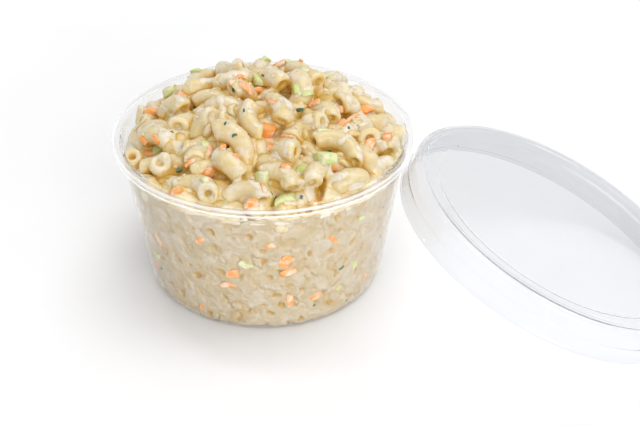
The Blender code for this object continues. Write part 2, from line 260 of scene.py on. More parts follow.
def write_shades(piece: bpy.types.Object, shades: np.ndarray) -> None:
    """Stores tone, inside and deep of each vertex in the attribute that the salad's finishes read; deep and the
    noodles' inside carry painted shade.
    """
    layer = piece.data.color_attributes.new("shades", "FLOAT_COLOR", "POINT")
    values = np.concatenate([shades, np.ones((len(shades), 1))], 1)
    layer.data.foreach_set("color", values.ravel())


def feed_node(tree: bpy.types.NodeTree, node: bpy.types.Node, values: Values) -> None:
    """Links or sets inputs of a node.

    Args:
        tree: the nodes that it is in.
        node: the node.
        values: a socket to link or a constant to set, by the name or number of the input.
    """
    for label, value in values.items():
        if isinstance(value, bpy.types.NodeSocket):
            tree.links.new(value, node.inputs[label])
        else:
            node.inputs[label].default_value = value


def add_node(tree: bpy.types.NodeTree, kind: str, values: Values, **settings: object) -> bpy.types.Node:
    """Adds a shader node.

    Args:
        tree: the nodes of a material or a group.
        kind: the node's type without its first word.
        values: what its inputs get.
        **settings: its own settings, which come first because they choose its sockets.

    Returns:
        The node.
    """
    node = tree.nodes.new("ShaderNode" + kind)
    for label, value in settings.items():
        setattr(node, label, value)
    feed_node(tree, node, values)
    return node


class Groups:
    """Shader groups that several finishes share, each built once."""

    def __init__(self) -> None:
        """Builds the groups."""
        self.mottle = self.build_mottle()
        self.smears = self.build_smears()
        self.film = self.build_film()

    @staticmethod
    def start(name: str, inputs: dict[str, object], outputs: dict[str, str]) -> tuple[bpy.types.NodeTree, Any, Any]:
        """Makes an empty group with its sockets, a place among them.

        Args:
            name: the group's name.
            inputs: first values by label: a number, or a tuple for a colour.
            outputs: kinds by label.

        Returns:
            The group, what comes in and what goes out.
        """
        tree = bpy.data.node_groups.new(name, "ShaderNodeTree")
        tree.interface.new_socket(name="Place", in_out="INPUT", socket_type="NodeSocketVector")
        for label, value in inputs.items():
            kind = "NodeSocketColor" if isinstance(value, tuple) else "NodeSocketFloat"
            tree.interface.new_socket(name=label, in_out="INPUT", socket_type=kind).default_value = value
        for label, kind in outputs.items():
            tree.interface.new_socket(name=label, in_out="OUTPUT", socket_type="NodeSocket" + kind)
        return tree, tree.nodes.new("NodeGroupInput").outputs, tree.nodes.new("NodeGroupOutput").inputs

    def build_mottle(self) -> bpy.types.NodeTree:
        """Two colours in soft uneven patches.

        Returns:
            The group.
        """
        white = (1.0, 1.0, 1.0, 1.0)
        inputs = {"Scale": 200.0, "Low": 0.4, "High": 0.6, "First": white, "Second": white}
        tree, given, out = self.start("mottle", inputs, {"Colour": "Color"})
        grain = {"Vector": given["Place"], "Scale": given["Scale"], "Detail": 4.0, "Roughness": 0.55}
        value = add_node(tree, "TexNoise", grain).outputs["Fac"]
        ease = {"Value": value, "From Min": given["Low"], "From Max": given["High"]}
        share = add_node(tree, "MapRange", ease, interpolation_type="SMOOTHSTEP").outputs["Result"]
        parts = {"Factor": share, "A": given["First"], "B": given["Second"]}
        tree.links.new(add_node(tree, "Mix", parts, data_type="RGBA").outputs["Result"], out["Colour"])
        return tree

    def build_smears(self) -> bpy.types.NodeTree:
        """Patches of dressing that lie on a piece, with ragged edges and a raised film.

        Returns:
            The group.
        """
        inputs = {"Scale": 180.0, "Cover": 0.5, "Edge": 0.08}
        tree, given, out = self.start("smears", inputs, {"Mask": "Float", "Height": "Float"})
        ragged = {"Detail": 5.0, "Roughness": 0.6, "Distortion": 0.6}
        placed = {"Vector": given["Place"], "Scale": given["Scale"]}
        value = add_node(tree, "TexNoise", placed | ragged).outputs["Fac"]
        low = add_node(tree, "Math", {0: 1.0, 1: given["Cover"]}, operation="SUBTRACT").outputs["Value"]
        high = add_node(tree, "Math", {0: low, 1: given["Edge"]}, operation="ADD").outputs["Value"]
        ease = {"Value": value, "From Min": low, "From Max": high}
        mask = add_node(tree, "MapRange", ease, interpolation_type="SMOOTHSTEP").outputs["Result"]
        fine = add_node(tree, "TexNoise", {"Vector": given["Place"], "Scale": 1000.0, "Detail": 2.0}).outputs["Fac"]
        height = add_node(tree, "Math", {0: fine, 1: 0.45, 2: mask}, operation="MULTIPLY_ADD").outputs["Value"]
        tree.links.new(mask, out["Mask"])
        tree.links.new(height, out["Height"])
        return tree

    def build_film(self) -> bpy.types.NodeTree:
        """Uneven roughness and a faint wave, for moist or moulded faces.

        Returns:
            The group.
        """
        inputs = {"Scale": 60.0, "Least": 0.1, "Most": 0.3}
        tree, given, out = self.start("film", inputs, {"Roughness": "Float", "Height": "Float"})
        noise_in = {"Vector": given["Place"], "Scale": given["Scale"], "Detail": 3.0}
        wave = add_node(tree, "TexNoise", noise_in).outputs["Fac"]
        spread = {"Value": wave, "From Min": 0.3, "From Max": 0.7, "To Min": given["Least"], "To Max": given["Most"]}
        tree.links.new(add_node(tree, "MapRange", spread).outputs["Result"], out["Roughness"])
        tree.links.new(wave, out["Height"])
        return tree


class FinishTools:
    """A new material on Object coordinates, and the parts that the finishes share."""

    def __init__(self, name: str, groups: Groups) -> None:
        """Starts a material of that name."""
        self.groups = groups
        self.material = bpy.data.materials.new(name)
        self.material.use_nodes = True
        self.tree = self.material.node_tree
        self.shader = self.tree.nodes["Principled BSDF"]
        self.place = self.add("TexCoord", {}).outputs["Object"]

    def add(self, kind: str, values: Values, **settings: object) -> bpy.types.Node:
        """Adds a node to the material."""
        return add_node(self.tree, kind, values, **settings)

    def feed(self, values: Values) -> None:
        """Links or sets inputs of the Principled shader."""
        feed_node(self.tree, self.shader, values)

    def group(self, tree: bpy.types.NodeTree, values: Values) -> Any:
        """Outputs of a shared group, placed with its own values."""
        return self.add("Group", {"Place": self.place} | values, node_tree=tree).outputs

    def patches(self, scale: float, low: float, high: float, first: Colour, second: Colour) -> Socket:
        """Two colours in soft patches: their scale, and the noise values between which one turns into the other."""
        colours = {"First": linear(first), "Second": linear(second)}
        return self.group(self.groups.mottle, {"Scale": scale, "Low": low, "High": high} | colours)["Colour"]

    def smears(self, scale: float, cover: float, edge: float = 0.08) -> Socket:
        """Smears of dressing that stand up a little.

        Args:
            scale: how fine they are.
            cover: how much they cover.
            edge: how soft their edges are.

        Returns:
            Where they lie.
        """
        smears = self.group(self.groups.smears, {"Scale": scale, "Cover": cover, "Edge": edge})
        self.bump(smears["Height"], 0.5, 0.3)
        return smears["Mask"]

    def film(self, scale: float, least: float, most: float) -> Socket:
        """Feeds an uneven roughness between two values.

        Args:
            scale: how fine it is.
            least: the smoothest.
            most: the roughest.

        Returns:
            The height of its wave.
        """
        film = self.group(self.groups.film, {"Scale": scale, "Least": least, "Most": most})
        self.feed({"Roughness": film["Roughness"]})
        return film["Height"]

    def mix(self, share: Socket, first: Socket, second: Socket | Colour) -> Socket:
        """Mixes two colours: the share is how much of the second shows."""
        other = linear(second) if isinstance(second, tuple) else second
        return self.add("Mix", {"Factor": share, "A": first, "B": other}, data_type="RGBA").outputs["Result"]

    def math(self, operation: str, first: Socket, second: Socket | float) -> Socket:
        """One sum of two values."""
        return self.add("Math", {0: first, 1: second}, operation=operation).outputs["Value"]

    def bump(self, height: Socket, strength: float, distance: float) -> None:
        """Feeds a height in millimetres to the shader's normal."""
        bump = self.add("Bump", {"Strength": strength, "Distance": distance * MM, "Height": height})
        self.feed({"Normal": bump.outputs["Normal"]})

    def shades(self) -> tuple[Socket, Socket, Socket]:
        """Reads the piece's attribute.

        Returns:
            Tone, inside and deep; deep and the noodles' inside carry painted shade.
        """
        layer = self.add("Attribute", {}, attribute_name="shades").outputs["Color"]
        split = self.add("SeparateColor", {"Color": layer}).outputs
        return split["Red"], split["Green"], split["Blue"]

    def flesh(self, weight: float, radius: float) -> None:
        """Lets light into soft food: a warm soft scatter of a given depth in millimetres."""
        depth = {"Subsurface Radius": (1.0, 0.95, 0.6), "Subsurface Scale": radius * MM}
        self.feed({"Subsurface Weight": weight} | depth)

    def coat(self, weight: float, roughness: float) -> None:
        """Adds a moist or glossy coat."""
        self.feed({"Coat Weight": weight, "Coat Roughness": roughness})


@dataclass(frozen=True)
class Finish:
    """A finish, which each kind paints in its own way."""

    name: str

    def material(self, groups: Groups) -> bpy.types.Material:
        """Builds the material.

        Args:
            groups: the shared shader groups.

        Returns:
            The painted material.
        """
        tools = FinishTools(self.name, groups)
        self.paint(tools)
        return tools.material

    def paint(self, tools: FinishTools) -> None:
        """Paints the new material."""
        raise NotImplementedError


@dataclass(frozen=True)
class ClearPlasticFinish(Finish):
    """Thin clear plastic, slightly uneven from the mould. After its turns, a ray goes straight on."""

    tint: Colour
    shadow: float = 0.98
    ior: float = 1.06
    wave: float = 0.04
    turns: float = 4.0
    clear: float = 1.0

    def paint(self, tools: FinishTools) -> None:
        """Paints the material: see-through, letting lamps through and letting no ray be trapped in the sheet.

        Args:
            tools: the new material.
        """
        lighter = (self.tint[0] + 2, self.tint[1] + 2, self.tint[2] + 2)
        colour = tools.patches(25.0, 0.3, 0.7, self.tint, lighter)
        tools.feed({"Base Color": colour, "IOR": self.ior, "Transmission Weight": self.clear})
        tools.bump(tools.film(45.0, 0.02, 0.06), self.wave, 1.0)
        tools.coat(0.8, 0.06)
        path = tools.add("LightPath", {}).outputs
        straight = tools.add("BsdfTransparent", {"Color": (self.shadow, self.shadow, self.shadow, 1.0)})
        trapped = tools.math("GREATER_THAN", path["Ray Depth"], self.turns)
        share = tools.math("MAXIMUM", path["Is Shadow Ray"], trapped)
        parts = {0: share, 1: tools.shader.outputs["BSDF"], 2: straight.outputs["BSDF"]}
        surface = tools.add("MixShader", parts).outputs["Shader"]
        feed_node(tools.tree, tools.tree.nodes["Material Output"], {"Surface": surface})


@dataclass(frozen=True)
class PastaFinish(Finish):
    """Boiled pasta: ivory to warm, with smears of dressing and golden painted shade in holes and gaps."""

    name: str = "dressed_pasta_finish"
    pale: Colour = (225, 213, 185)
    warm: Colour = (220, 198, 142)
    dressing: Colour = (228, 219, 202)
    # hole and gap are painted shade: golden colours for the shade inside the tube ends and in the crevices between
    # noodles.
    hole: Colour = (234, 188, 88)
    gap: Colour = (226, 180, 70)
    cover: float = 0.52

    def paint(self, tools: FinishTools) -> None:
        """Paints the material.

        Args:
            tools: the new material.
        """
        tone, inside, deep = tools.shades()
        toned = tools.mix(tone, tools.patches(420.0, 0.35, 0.65, self.pale, self.warm), self.warm)
        dressed = tools.mix(tools.smears(170.0, self.cover, 0.22), toned, self.dressing)
        # Painted shade: the deep share turns crevices golden, and the inside share turns the holes golden.
        gapped = tools.mix(deep, dressed, self.gap)
        tools.feed({"Base Color": tools.mix(inside, gapped, self.hole)})
        tools.film(300.0, 0.24, 0.5)
        tools.flesh(0.7, 3.2)
        tools.coat(0.45, 0.08)


@dataclass(frozen=True)
class DressingFinish(Finish):
    """Creamy dressing with fine bits in it, with golden painted shade where it lies deep between the noodles."""

    name: str = "creamy_dressing_finish"
    light: Colour = (230, 220, 201)
    cream: Colour = (229, 214, 180)
    # deep is a painted shade colour for dressing that lies hidden between the noodles.
    deep: Colour = (225, 190, 90)

    def paint(self, tools: FinishTools) -> None:
        """Paints the material.

        Args:
            tools: the new material.
        """
        fresh = tools.patches(220.0, 0.38, 0.62, self.light, self.cream)
        # Painted shade: the deep share turns hidden dressing golden.
        tools.feed({"Base Color": tools.mix(tools.shades()[2], fresh, self.deep)})
        tools.smears(260.0, 0.5)
        tools.film(260.0, 0.24, 0.46)
        tools.coat(0.25, 0.12)


@dataclass(frozen=True)
class PressedFinish(Finish):
    """The salad against the clear wall: dressing and cut pasta in darker colours for painted shade, thin outlines and
    golden painted shade in holes and pockets.
    """

    name: str = "pressed_salad_shaded_finish"
    # light, cream, pale and warm are darker copies of the dressing and pasta colours: painted shade on the salad's
    # side behind the wall.
    light: Colour = (209, 197, 175)
    cream: Colour = (200, 185, 158)
    pale: Colour = (200, 184, 151)
    warm: Colour = (191, 170, 129)
    outline: Colour = (184, 158, 106)
    # pocket is painted shade: golden for holes, pockets and recesses behind the wall.
    pocket: Colour = (190, 150, 58)

    def paint(self, tools: FinishTools) -> None:
        """Paints the material.

        Args:
            tools: the new material.
        """
        tone, inside, deep = tools.shades()
        dressing = tools.patches(300.0, 0.38, 0.62, self.light, self.cream)
        filled = tools.mix(tone, dressing, tools.patches(240.0, 0.35, 0.65, self.pale, self.warm))
        lined = tools.mix(inside, filled, self.outline)
        # Painted shade: the deep share turns holes, pockets and recesses golden.
        tools.feed({"Base Color": tools.mix(deep, lined, self.pocket), "Roughness": 0.5})
        tools.smears(260.0, 0.5)
        tools.flesh(0.2, 0.8)


@dataclass(frozen=True)
class VegetableFinish(Finish):
    """A chopped vegetable: two colours of its own, part hidden by dressing."""

    first: Colour
    second: Colour
    dressing: Colour
    cover: float
    grain: float

    def paint(self, tools: FinishTools) -> None:
        """Paints the material.

        Args:
            tools: the new material.
        """
        raw = tools.patches(self.grain, 0.4, 0.6, self.first, self.second)
        toned = tools.mix(tools.shades()[0], raw, self.second)
        share = tools.math("MULTIPLY", tools.smears(260.0, self.cover, 0.2), 0.8)
        tools.feed({"Base Color": tools.mix(share, toned, self.dressing)})
        tools.film(300.0, 0.22, 0.42)


@dataclass(frozen=True)
class PaleFloorFinish(Finish):
    """A smooth near-white sheet."""

    name: str = "pale_floor_finish"
    light: Colour = (246, 246, 247)
    dark: Colour = (243, 243, 244)

    def paint(self, tools: FinishTools) -> None:
        """Paints the material.

        Args:
            tools: the new material.
        """
        colour = tools.patches(6.0, 0.3, 0.7, self.light, self.dark)
        tools.feed({"Base Color": colour, "Specular IOR Level": 0.2})
        tools.film(20.0, 0.6, 0.75)


def dress(piece: bpy.types.Object, material: bpy.types.Material, node: str) -> None:
    """Gives a piece its finish, puts it under the root body and hides the CAD node that it replaces.

    Args:
        piece: the finished piece.
        material: its finish.
        node: the CAD node that it replaces.
    """
    piece.data.materials.clear()
    piece.data.materials.append(material)
    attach(piece, "root")
    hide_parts(node)
    log.info("%s: %d faces", piece.name, len(piece.data.polygons))


@dataclass
class Cup:
    """The clear cup: flat foot, tapering wall, stacking shoulder and a rim with a turned-down lip."""

    rim_radius: float = 58.5
    height: float = 62.0
    rim_drop: float = 2.6
    lip_thick: float = 0.9
    shoulder_z: float = 57.2
    shoulder_radius: float = 55.4
    wall_top_z: float = 54.0
    wall_top_radius: float = 54.6
    wall_low_z: float = 3.4
    wall_low_radius: float = 47.9
    foot_radius: float = 46.4
    wall_thick: float = 0.8
    base_thick: float = 0.7
    sides: int = 180

    def section(self) -> list[tuple[float, float]]:
        """The section from the middle of the floor up the inside, over the rim and down to the foot."""
        wall = self.wall_thick
        rim_low = self.height - self.rim_drop
        under_rim = self.height - self.lip_thick
        corners = [
            (6.0, self.base_thick, 0.0),
            (self.foot_radius - 5.0, self.base_thick, 1.0),
            (self.foot_radius - 0.9, self.base_thick + 0.1, 0.8),
            (self.wall_low_radius - wall - 0.15, self.wall_low_z + 0.2, 1.6),
            (self.wall_top_radius - wall, self.wall_top_z + 0.4, 0.5),
            (self.shoulder_radius - wall, self.shoulder_z, 0.5),
            (self.shoulder_radius - wall + 0.1, self.height - 0.1, 0.6),
            (self.rim_radius, self.height, 0.8),
            (self.rim_radius + 0.05, rim_low, 0.3),
            (self.rim_radius - self.lip_thick, rim_low, 0.3),
            (self.rim_radius - self.lip_thick, under_rim, 0.5),
            (self.shoulder_radius + 0.1, under_rim - 0.2, 0.5),
            (self.shoulder_radius, self.shoulder_z, 0.5),
            (self.wall_top_radius, self.wall_top_z, 0.5),
            (self.wall_low_radius, self.wall_low_z, 1.6),
            (self.foot_radius - 0.2, 0.0, 1.2),
            (self.foot_radius - 3.4, 0.0, 0.4),
            (self.foot_radius - 4.2, 0.35, 0.4),
            (6.0, 0.35, 0.0),
        ]
        return rounded(corners)

    def inner_radius(self, z: np.ndarray) -> np.ndarray:
        """Inside of the wall at each height."""
        wall = self.wall_thick
        low = self.foot_radius - 1.0
        heights = (self.base_thick, 1.5, self.wall_low_z + 0.2, self.wall_top_z, self.shoulder_z, self.height)
        top = self.shoulder_radius - wall
        radii = (low, 46.0, self.wall_low_radius - wall, self.wall_top_radius - wall, top, top)
        return np.interp(z, heights, radii)

    def build(self, finish: ClearPlasticFinish, edge: ClearPlasticFinish, groups: Groups) -> bpy.types.Object:
        """Models and dresses the cup.

        Args:
            finish: its clear plastic.
            edge: the milkier plastic of the lip's two edges, partly the plastic's real haze and partly a painted
                highlight.
            groups: the shared shader groups.

        Returns:
            The finished cup.
        """
        cup = turned_piece("clear_cup", self.section(), self.sides)
        dress(cup, finish.material(groups), "cup")
        cup.data.materials.append(edge.material(groups))
        # The milky edge faces are partly real haze and partly a painted highlight along the lip.
        low = self.height - self.rim_drop + 0.35
        high = self.height - self.lip_thick + 0.05
        for face in cup.data.polygons:
            radial = math.hypot(face.center.x, face.center.y) / MM
            on_edge = not low < face.center.z / MM < high
            face.material_index = int(radial > self.rim_radius - 1.0 and on_edge)
        return cup


@dataclass
class Lid:
    """The clear lid: lip, skirt with a snap bead, raised ring and stepped panel, leaning against the cup."""

    lip_radius: float = 61.4
    skirt_radius: float = 60.8
    bead_height: float = 6.6
    bead_out: float = 0.5
    shoulder: float = 13.1
    ring_outside: float = 59.4
    ring_inside: float = 57.0
    ring_height: float = 14.0
    step_radius: float = 50.6
    panel: float = 12.4
    thick: float = 0.6
    lean: float = 23.3
    centre_x: float = 108.4
    centre_y: float = -23.5
    sides: int = 200

    def section(self) -> list[tuple[float, float]]:
        """The section from the middle of the panel over the ring and down the skirt, then back up inside."""
        thick = self.thick
        inside = self.skirt_radius - thick
        under_ring = self.ring_height - thick
        under = self.shoulder - thick
        corners = [
            (6.0, self.panel, 0.0),
            (self.step_radius, self.panel, 0.8),
            (self.step_radius + 0.9, self.shoulder, 0.8),
            (self.ring_inside - 0.4, self.shoulder, 0.4),
            (self.ring_inside, self.ring_height, 0.5),
            (self.ring_outside, self.ring_height, 0.5),
            (self.ring_outside + 0.3, self.shoulder, 0.3),
            (self.skirt_radius - 0.2, self.shoulder - 0.1, 0.5),
            (self.skirt_radius + 0.2, self.shoulder - 0.9, 0.5),
            (self.skirt_radius, self.bead_height + 1.0, 0.5),
            (self.skirt_radius + self.bead_out, self.bead_height, 0.5),
            (self.skirt_radius, self.bead_height - 1.0, 0.5),
            (self.skirt_radius, 1.5, 0.5),
            (self.lip_radius, 1.0, 0.4),
            (self.lip_radius, 0.0, 0.3),
            (inside, 0.0, 0.2),
            (inside, self.bead_height - 1.0, 0.4),
            (inside + self.bead_out * 0.8, self.bead_height, 0.4),
            (inside, self.bead_height + 1.0, 0.4),
            (inside, under - 0.8, 0.5),
            (inside - 0.8, under, 0.4),
            (self.ring_outside - 0.4, under, 0.2),
            (self.ring_outside - 0.6, under_ring, 0.3),
            (self.ring_inside + 0.6, under_ring, 0.3),
            (self.ring_inside + 0.2, under, 0.3),
            (self.step_radius + 0.8, under, 0.6),
            (self.step_radius - 0.1, self.panel - thick, 0.6),
            (6.0, self.panel - thick, 0.0),
        ]
        return rounded(corners)

    def place(self) -> Matrix:
        """Stands the lid's lowest edge on the floor and leans its far side against the cup."""
        lean = math.radians(self.lean)
        height = self.lip_radius * math.sin(lean)
        return Matrix.Translation(Vector((self.centre_x, self.centre_y, height)) * MM) @ Matrix.Rotation(lean, 4, "Y")

    def build(self, finish: ClearPlasticFinish, groups: Groups) -> bpy.types.Object:
        """Models, places and dresses the lid.

        Args:
            finish: its clear plastic.
            groups: the shared shader groups.

        Returns:
            The finished lid.
        """
        lid = turned_piece("clear_lid", self.section(), self.sides)
        lid.data.transform(self.place())
        dress(lid, finish.material(groups), "lid")
        return lid


# The elbows that stand out: middle of the bend (x, y), its lift over the heap's surface,
# then the lean about the chord, the dip and the heading in degrees, the bend radius and the arc.
SHOWN_ELBOWS = {
    "big_curl": (-8, -27, 1.0, 40, 35, -65, 10.0, 140),
    "behind_curl": (-12, -5, -1.5, 105, 5, -5, 9.0, 115),
    "left_of_curl": (-22, -13, -1.5, 40, -60, -15, 8.0, 90),
    "front_of_curl": (-10, -35, -1.0, 120, 15, -60, 8.0, 90),
    "front_left": (-22, -38, -3.5, 5, -15, -30, 9.5, 120),
    "front_far_left": (-35, -28, -3.0, -50, 55, 40, 8.0, 90),
    "front_low": (-4, -43, -1.5, 40, -10, -20, 8.5, 110),
    "front_mid": (8, -37, -1.5, 35, 0, -30, 8.5, 110),
    "small_curl": (8, -28, -2.0, 55, 60, 120, 8.5, 110),
    "round_end": (20, -36, 0.0, 30, 10, 60, 8.5, 80),
    "smooth_right": (30, -36, -0.5, 115, -20, 15, 9.0, 115),
    "right_arch": (29, -19, 0.5, 15, 15, -25, 9.0, 135),
    "flat_ring": (39, -8, -2.0, -75, 0, -60, 7.5, 85),
    "edge_ring": (44, -7, -3.0, 105, 35, 120, 8.5, 110),
    "right_mid": (33, 8, -1.5, 115, 50, 50, 8.5, 90),
    "hole_mid": (22, -4, -1.5, 130, 15, 130, 8.5, 90),
    "round_mid": (7, -10, 0.0, 170, -5, 115, 8.5, 80),
    "back_round": (-7, 3, -1.0, 90, 50, 45, 8.5, 100),
    "long_right": (13, 18, -1.0, 5, -5, -5, 9.0, 115),
    "chunk_right": (25, 33, 0.0, 60, 15, 60, 8.5, 105),
    "top_right": (10, 35, 0.5, 30, -10, -30, 8.5, 105),
    "top_left": (-26, 31, 1.5, 25, 0, 45, 8.5, 110),
    "upper_left": (-35, 4, 0.0, 65, -30, -40, 8.5, 100),
    "left_arch": (-38, -12, -1.0, 80, 0, -40, 9.0, 125),
}


@dataclass
class Elbow:
    """One elbow noodle: where its bend's middle is, how it is turned and how it is bent."""

    middle: np.ndarray
    turn: np.ndarray
    bend: float
    arc: float


@dataclass
class Heap:
    """The heap's form and the places of its elbows, the same as in the solids."""

    cup: Cup
    edge_z: float = 57.0
    rise: float = 20.5
    peak_y: float = 8.0
    wall: float = 54.0
    wall_gap: float = 0.5
    tube_radius: float = 4.3
    filler_spacing: float = 10.3
    filler_reach: float = 47.0
    filler_seed: int = 7
    tries: int = 900
    wall_rows: tuple[tuple[float, int], ...] = ((11.0, 7), (24.5, 7), (38.0, 7), (50.0, 7))
    wall_seed: int = 11
    settle_rounds: int = 60
    balls: int = 6
    crossing: float = 1.2
    shown_freedom: float = 0.15
    under_seed: int = 23
    extra_wall_seed: int = 31
    extra_heights: tuple[float, float] = (5.0, 54.0)
    end_on_share: float = 0.36
    filler_depth: float = 2.0
    under_spacing: float = 8.4
    under_depth: float = 6.2
    under_reach: float = 49.5
    part_share: float = 0.22
    pull_down: float = 0.10
    lift_up: float = 0.06
    deepest: float = 7.0
    wall_push: float = 0.8

    def wall_inside(self, z: np.ndarray) -> np.ndarray:
        """Inner radius of the wall as the solids have it.

        Returns:
            The radius at each height.
        """
        cup = self.cup
        heights = (0.0, cup.wall_low_z, cup.wall_top_z, cup.shoulder_z, cup.height)
        radii = (cup.foot_radius, cup.wall_low_radius, cup.wall_top_radius, cup.shoulder_radius, cup.shoulder_radius)
        return np.interp(z, heights, radii) - cup.wall_thick

    def surface(self, x: np.ndarray, y: np.ndarray) -> np.ndarray:
        """Height of the heap's mean surface over places in the cup.

        Args:
            x: places across the picture.
            y: places away from the viewer.

        Returns:
            The height over each place.
        """
        far = np.hypot(x, y - self.peak_y) + 1e-6
        toward = self.peak_y * (y - self.peak_y) / far
        reach = -toward + np.sqrt(toward**2 + self.wall**2 - self.peak_y**2)
        share = np.clip(far / reach, 0.0, 1.0)
        return self.edge_z + self.rise * (1.0 - share**2)

    @staticmethod
    def turn_matrix(lean: float, dip: float, heading: float) -> np.ndarray:
        """Rotation by a lean about X, a dip about Y and a heading about Z, in degrees.

        Returns:
            The rotation as a 3 by 3 matrix.
        """
        about_x = Matrix.Rotation(math.radians(lean), 3, "X")
        about_y = Matrix.Rotation(math.radians(dip), 3, "Y")
        about_z = Matrix.Rotation(math.radians(heading), 3, "Z")
        return np.array(about_z @ about_y @ about_x)

    def on_surface(self, spot: Sequence[float], lift: float, turn: np.ndarray, bend: float, arc: float) -> Elbow:
        """An elbow whose middle lies at a lift over the mean surface."""
        middle = np.array([spot[0], spot[1], float(self.surface(spot[0], spot[1])) + lift])
        return Elbow(middle, turn, bend, arc)

    def shown(self) -> list[Elbow]:
        """The elbows that stand out, from the table.

        Returns:
            One elbow for each row of it.
        """
        elbows = []
        for x, y, lift, lean, dip, heading, bend, arc in SHOWN_ELBOWS.values():
            elbows.append(self.on_surface((x, y), lift, self.turn_matrix(lean, dip, heading), bend, arc))
        return elbows

    def spread(self, taken: list[np.ndarray], seed: int, spacing: float, depth: float, reach: float) -> list[Elbow]:
        """Elbows over the bare places of the heap, spread by distance.

        Args:
            taken: places that already hold an elbow. New ones are added to it.
            seed: what the random draws start from.
            spacing: least distance between two middles.
            depth: how far under the mean surface they lie.
            reach: how far from the middle of the cup they go.

        Returns:
            The new elbows.
        """
        rng = np.random.default_rng(seed)
        elbows = []
        for i in range(self.tries):
            radius = reach * math.sqrt((i + 0.5) / self.tries)
            spot = np.array([radius * math.cos(i * GOLDEN_ANGLE), radius * math.sin(i * GOLDEN_ANGLE)])
            if min(float(np.hypot(*(spot - other))) for other in taken) < spacing:
                continue
            taken.append(spot)
            turn = self.turn_matrix(rng.uniform(-40, 110), rng.uniform(-25, 25), rng.uniform(0, 360))
            bend = rng.uniform(8.0, 9.4)
            elbows.append(self.on_surface(spot, -depth, turn, bend, rng.uniform(95, 125)))
        return elbows

    def centre_line(self, elbow: Elbow) -> np.ndarray:
        """Points along an elbow's centre line, in its own frame."""
        angles = math.radians(elbow.arc) / 2.0 * np.linspace(-1.0, 1.0, self.balls)
        return np.stack([elbow.bend * np.sin(angles), elbow.bend * (np.cos(angles) - 1.0), 0.0 * angles], 1)

    def settle(self, elbows: list[Elbow], freedom: np.ndarray) -> None:
        """Moves and turns elbows apart until few of them cross.

        Args:
            elbows: the elbows, changed in place.
            freedom: how freely each may move, from 0 to 1.
        """
        local = np.array([self.centre_line(elbow) for elbow in elbows])
        spin = np.array([elbow.turn for elbow in elbows])
        middle = np.array([elbow.middle for elbow in elbows])
        owner = np.repeat(np.arange(len(elbows)), self.balls)
        same = owner[:, None] == owner[None, :]
        nearest = 2.0 * self.tube_radius - self.crossing
        for _ in range(self.settle_rounds):
            balls = np.einsum("nij,nkj->nki", spin, local) + middle[:, None, :]
            flat = balls.reshape(-1, 3)
            gaps = flat[:, None, :] - flat[None, :, :]
            far = np.sqrt((gaps**2).sum(2)) + 1e-9
            overlap = np.where(same, 0.0, np.maximum(0.0, nearest - far))
            push = (gaps / far[..., None] * overlap[..., None]).sum(1) * self.part_share
            surface = self.surface(flat[:, 0], flat[:, 1])
            push[:, 2] += self.pull_down * np.minimum(0.0, surface - flat[:, 2])
            push[:, 2] += self.lift_up * np.maximum(0.0, surface - self.deepest - flat[:, 2])
            radial = np.hypot(flat[:, 0], flat[:, 1])
            too_far = np.maximum(0.0, radial - self.wall_inside(flat[:, 2]) + self.wall_gap + self.tube_radius)
            push[:, :2] -= flat[:, :2] / radial[:, None] * too_far[:, None] * self.wall_push
            push = push.reshape(balls.shape) * freedom[:, None, None]
            shift = push.mean(1)
            middle = middle + shift
            arm = balls - balls.mean(1)[:, None, :]
            torque = np.cross(arm, push - shift[:, None, :]).sum(1)
            inertia = (arm**2).sum((1, 2))[:, None] + 1.0
            for i, turn in enumerate(torque / inertia):
                angle = float(np.linalg.norm(turn))
                if angle > 1e-7:
                    spin[i] = np.array(Matrix.Rotation(angle, 3, Vector(turn))) @ spin[i]
        for i, elbow in enumerate(elbows):
            elbow.turn = spin[i]
            elbow.middle = middle[i]

    def top_elbows(self) -> list[Elbow]:
        """The settled layer of elbows that covers the heap.

        Returns:
            The shown elbows and the fillers between them.
        """
        shown = self.shown()
        taken = [elbow.middle[:2] for elbow in shown]
        fillers = self.spread(taken, self.filler_seed, self.filler_spacing, self.filler_depth, self.filler_reach)
        freedom = np.array([self.shown_freedom] * len(shown) + [1.0] * len(fillers))
        self.settle(shown + fillers, freedom)
        return shown + fillers

    def under_elbows(self) -> list[Elbow]:
        """A second layer that shows through the gaps of the first."""
        start = [np.array([3.0, 4.0])]
        return self.spread(start, self.under_seed, self.under_spacing, self.under_depth, self.under_reach)

    def wall_frame(self, around: float, z: float, inset: float) -> tuple[np.ndarray, ...]:
        """Middle, side, up and normal of a place just inside the wall."""
        cup = self.cup
        slant = math.atan2(cup.wall_top_radius - cup.wall_low_radius, cup.wall_top_z - cup.wall_low_z)
        out = np.array([math.cos(around), math.sin(around), 0.0])
        side = np.array([-math.sin(around), math.cos(around), 0.0])
        up = np.array([0.0, 0.0, math.cos(slant)]) + out * math.sin(slant)
        middle = out * (float(self.wall_inside(z)) - inset) + np.array([0.0, 0.0, z])
        return middle, side, up, np.cross(side, up)

    def wall_elbows(self) -> list[Elbow]:
        """The elbows pressed flat against the wall, in staggered rows, as in the solids.

        Returns:
            The elbows, row by row.
        """
        rng = np.random.default_rng(self.wall_seed)
        elbows = []
        for row, (row_z, count) in enumerate(self.wall_rows):
            for i in range(count):
                around = 2.0 * math.pi * (i + 0.5 * (row % 2)) / count + rng.uniform(-0.12, 0.12)
                z = row_z + rng.uniform(-2.5, 2.5)
                inset = self.wall_gap + self.tube_radius * 0.9
                middle, side, up, normal = self.wall_frame(around, z, inset)
                heading = rng.uniform(0.0, 2.0 * math.pi)
                first = math.cos(heading) * side + math.sin(heading) * up
                elbows.append(Elbow(middle, np.stack([first, np.cross(normal, first), normal], 1), 9.0, 100.0))
        return elbows

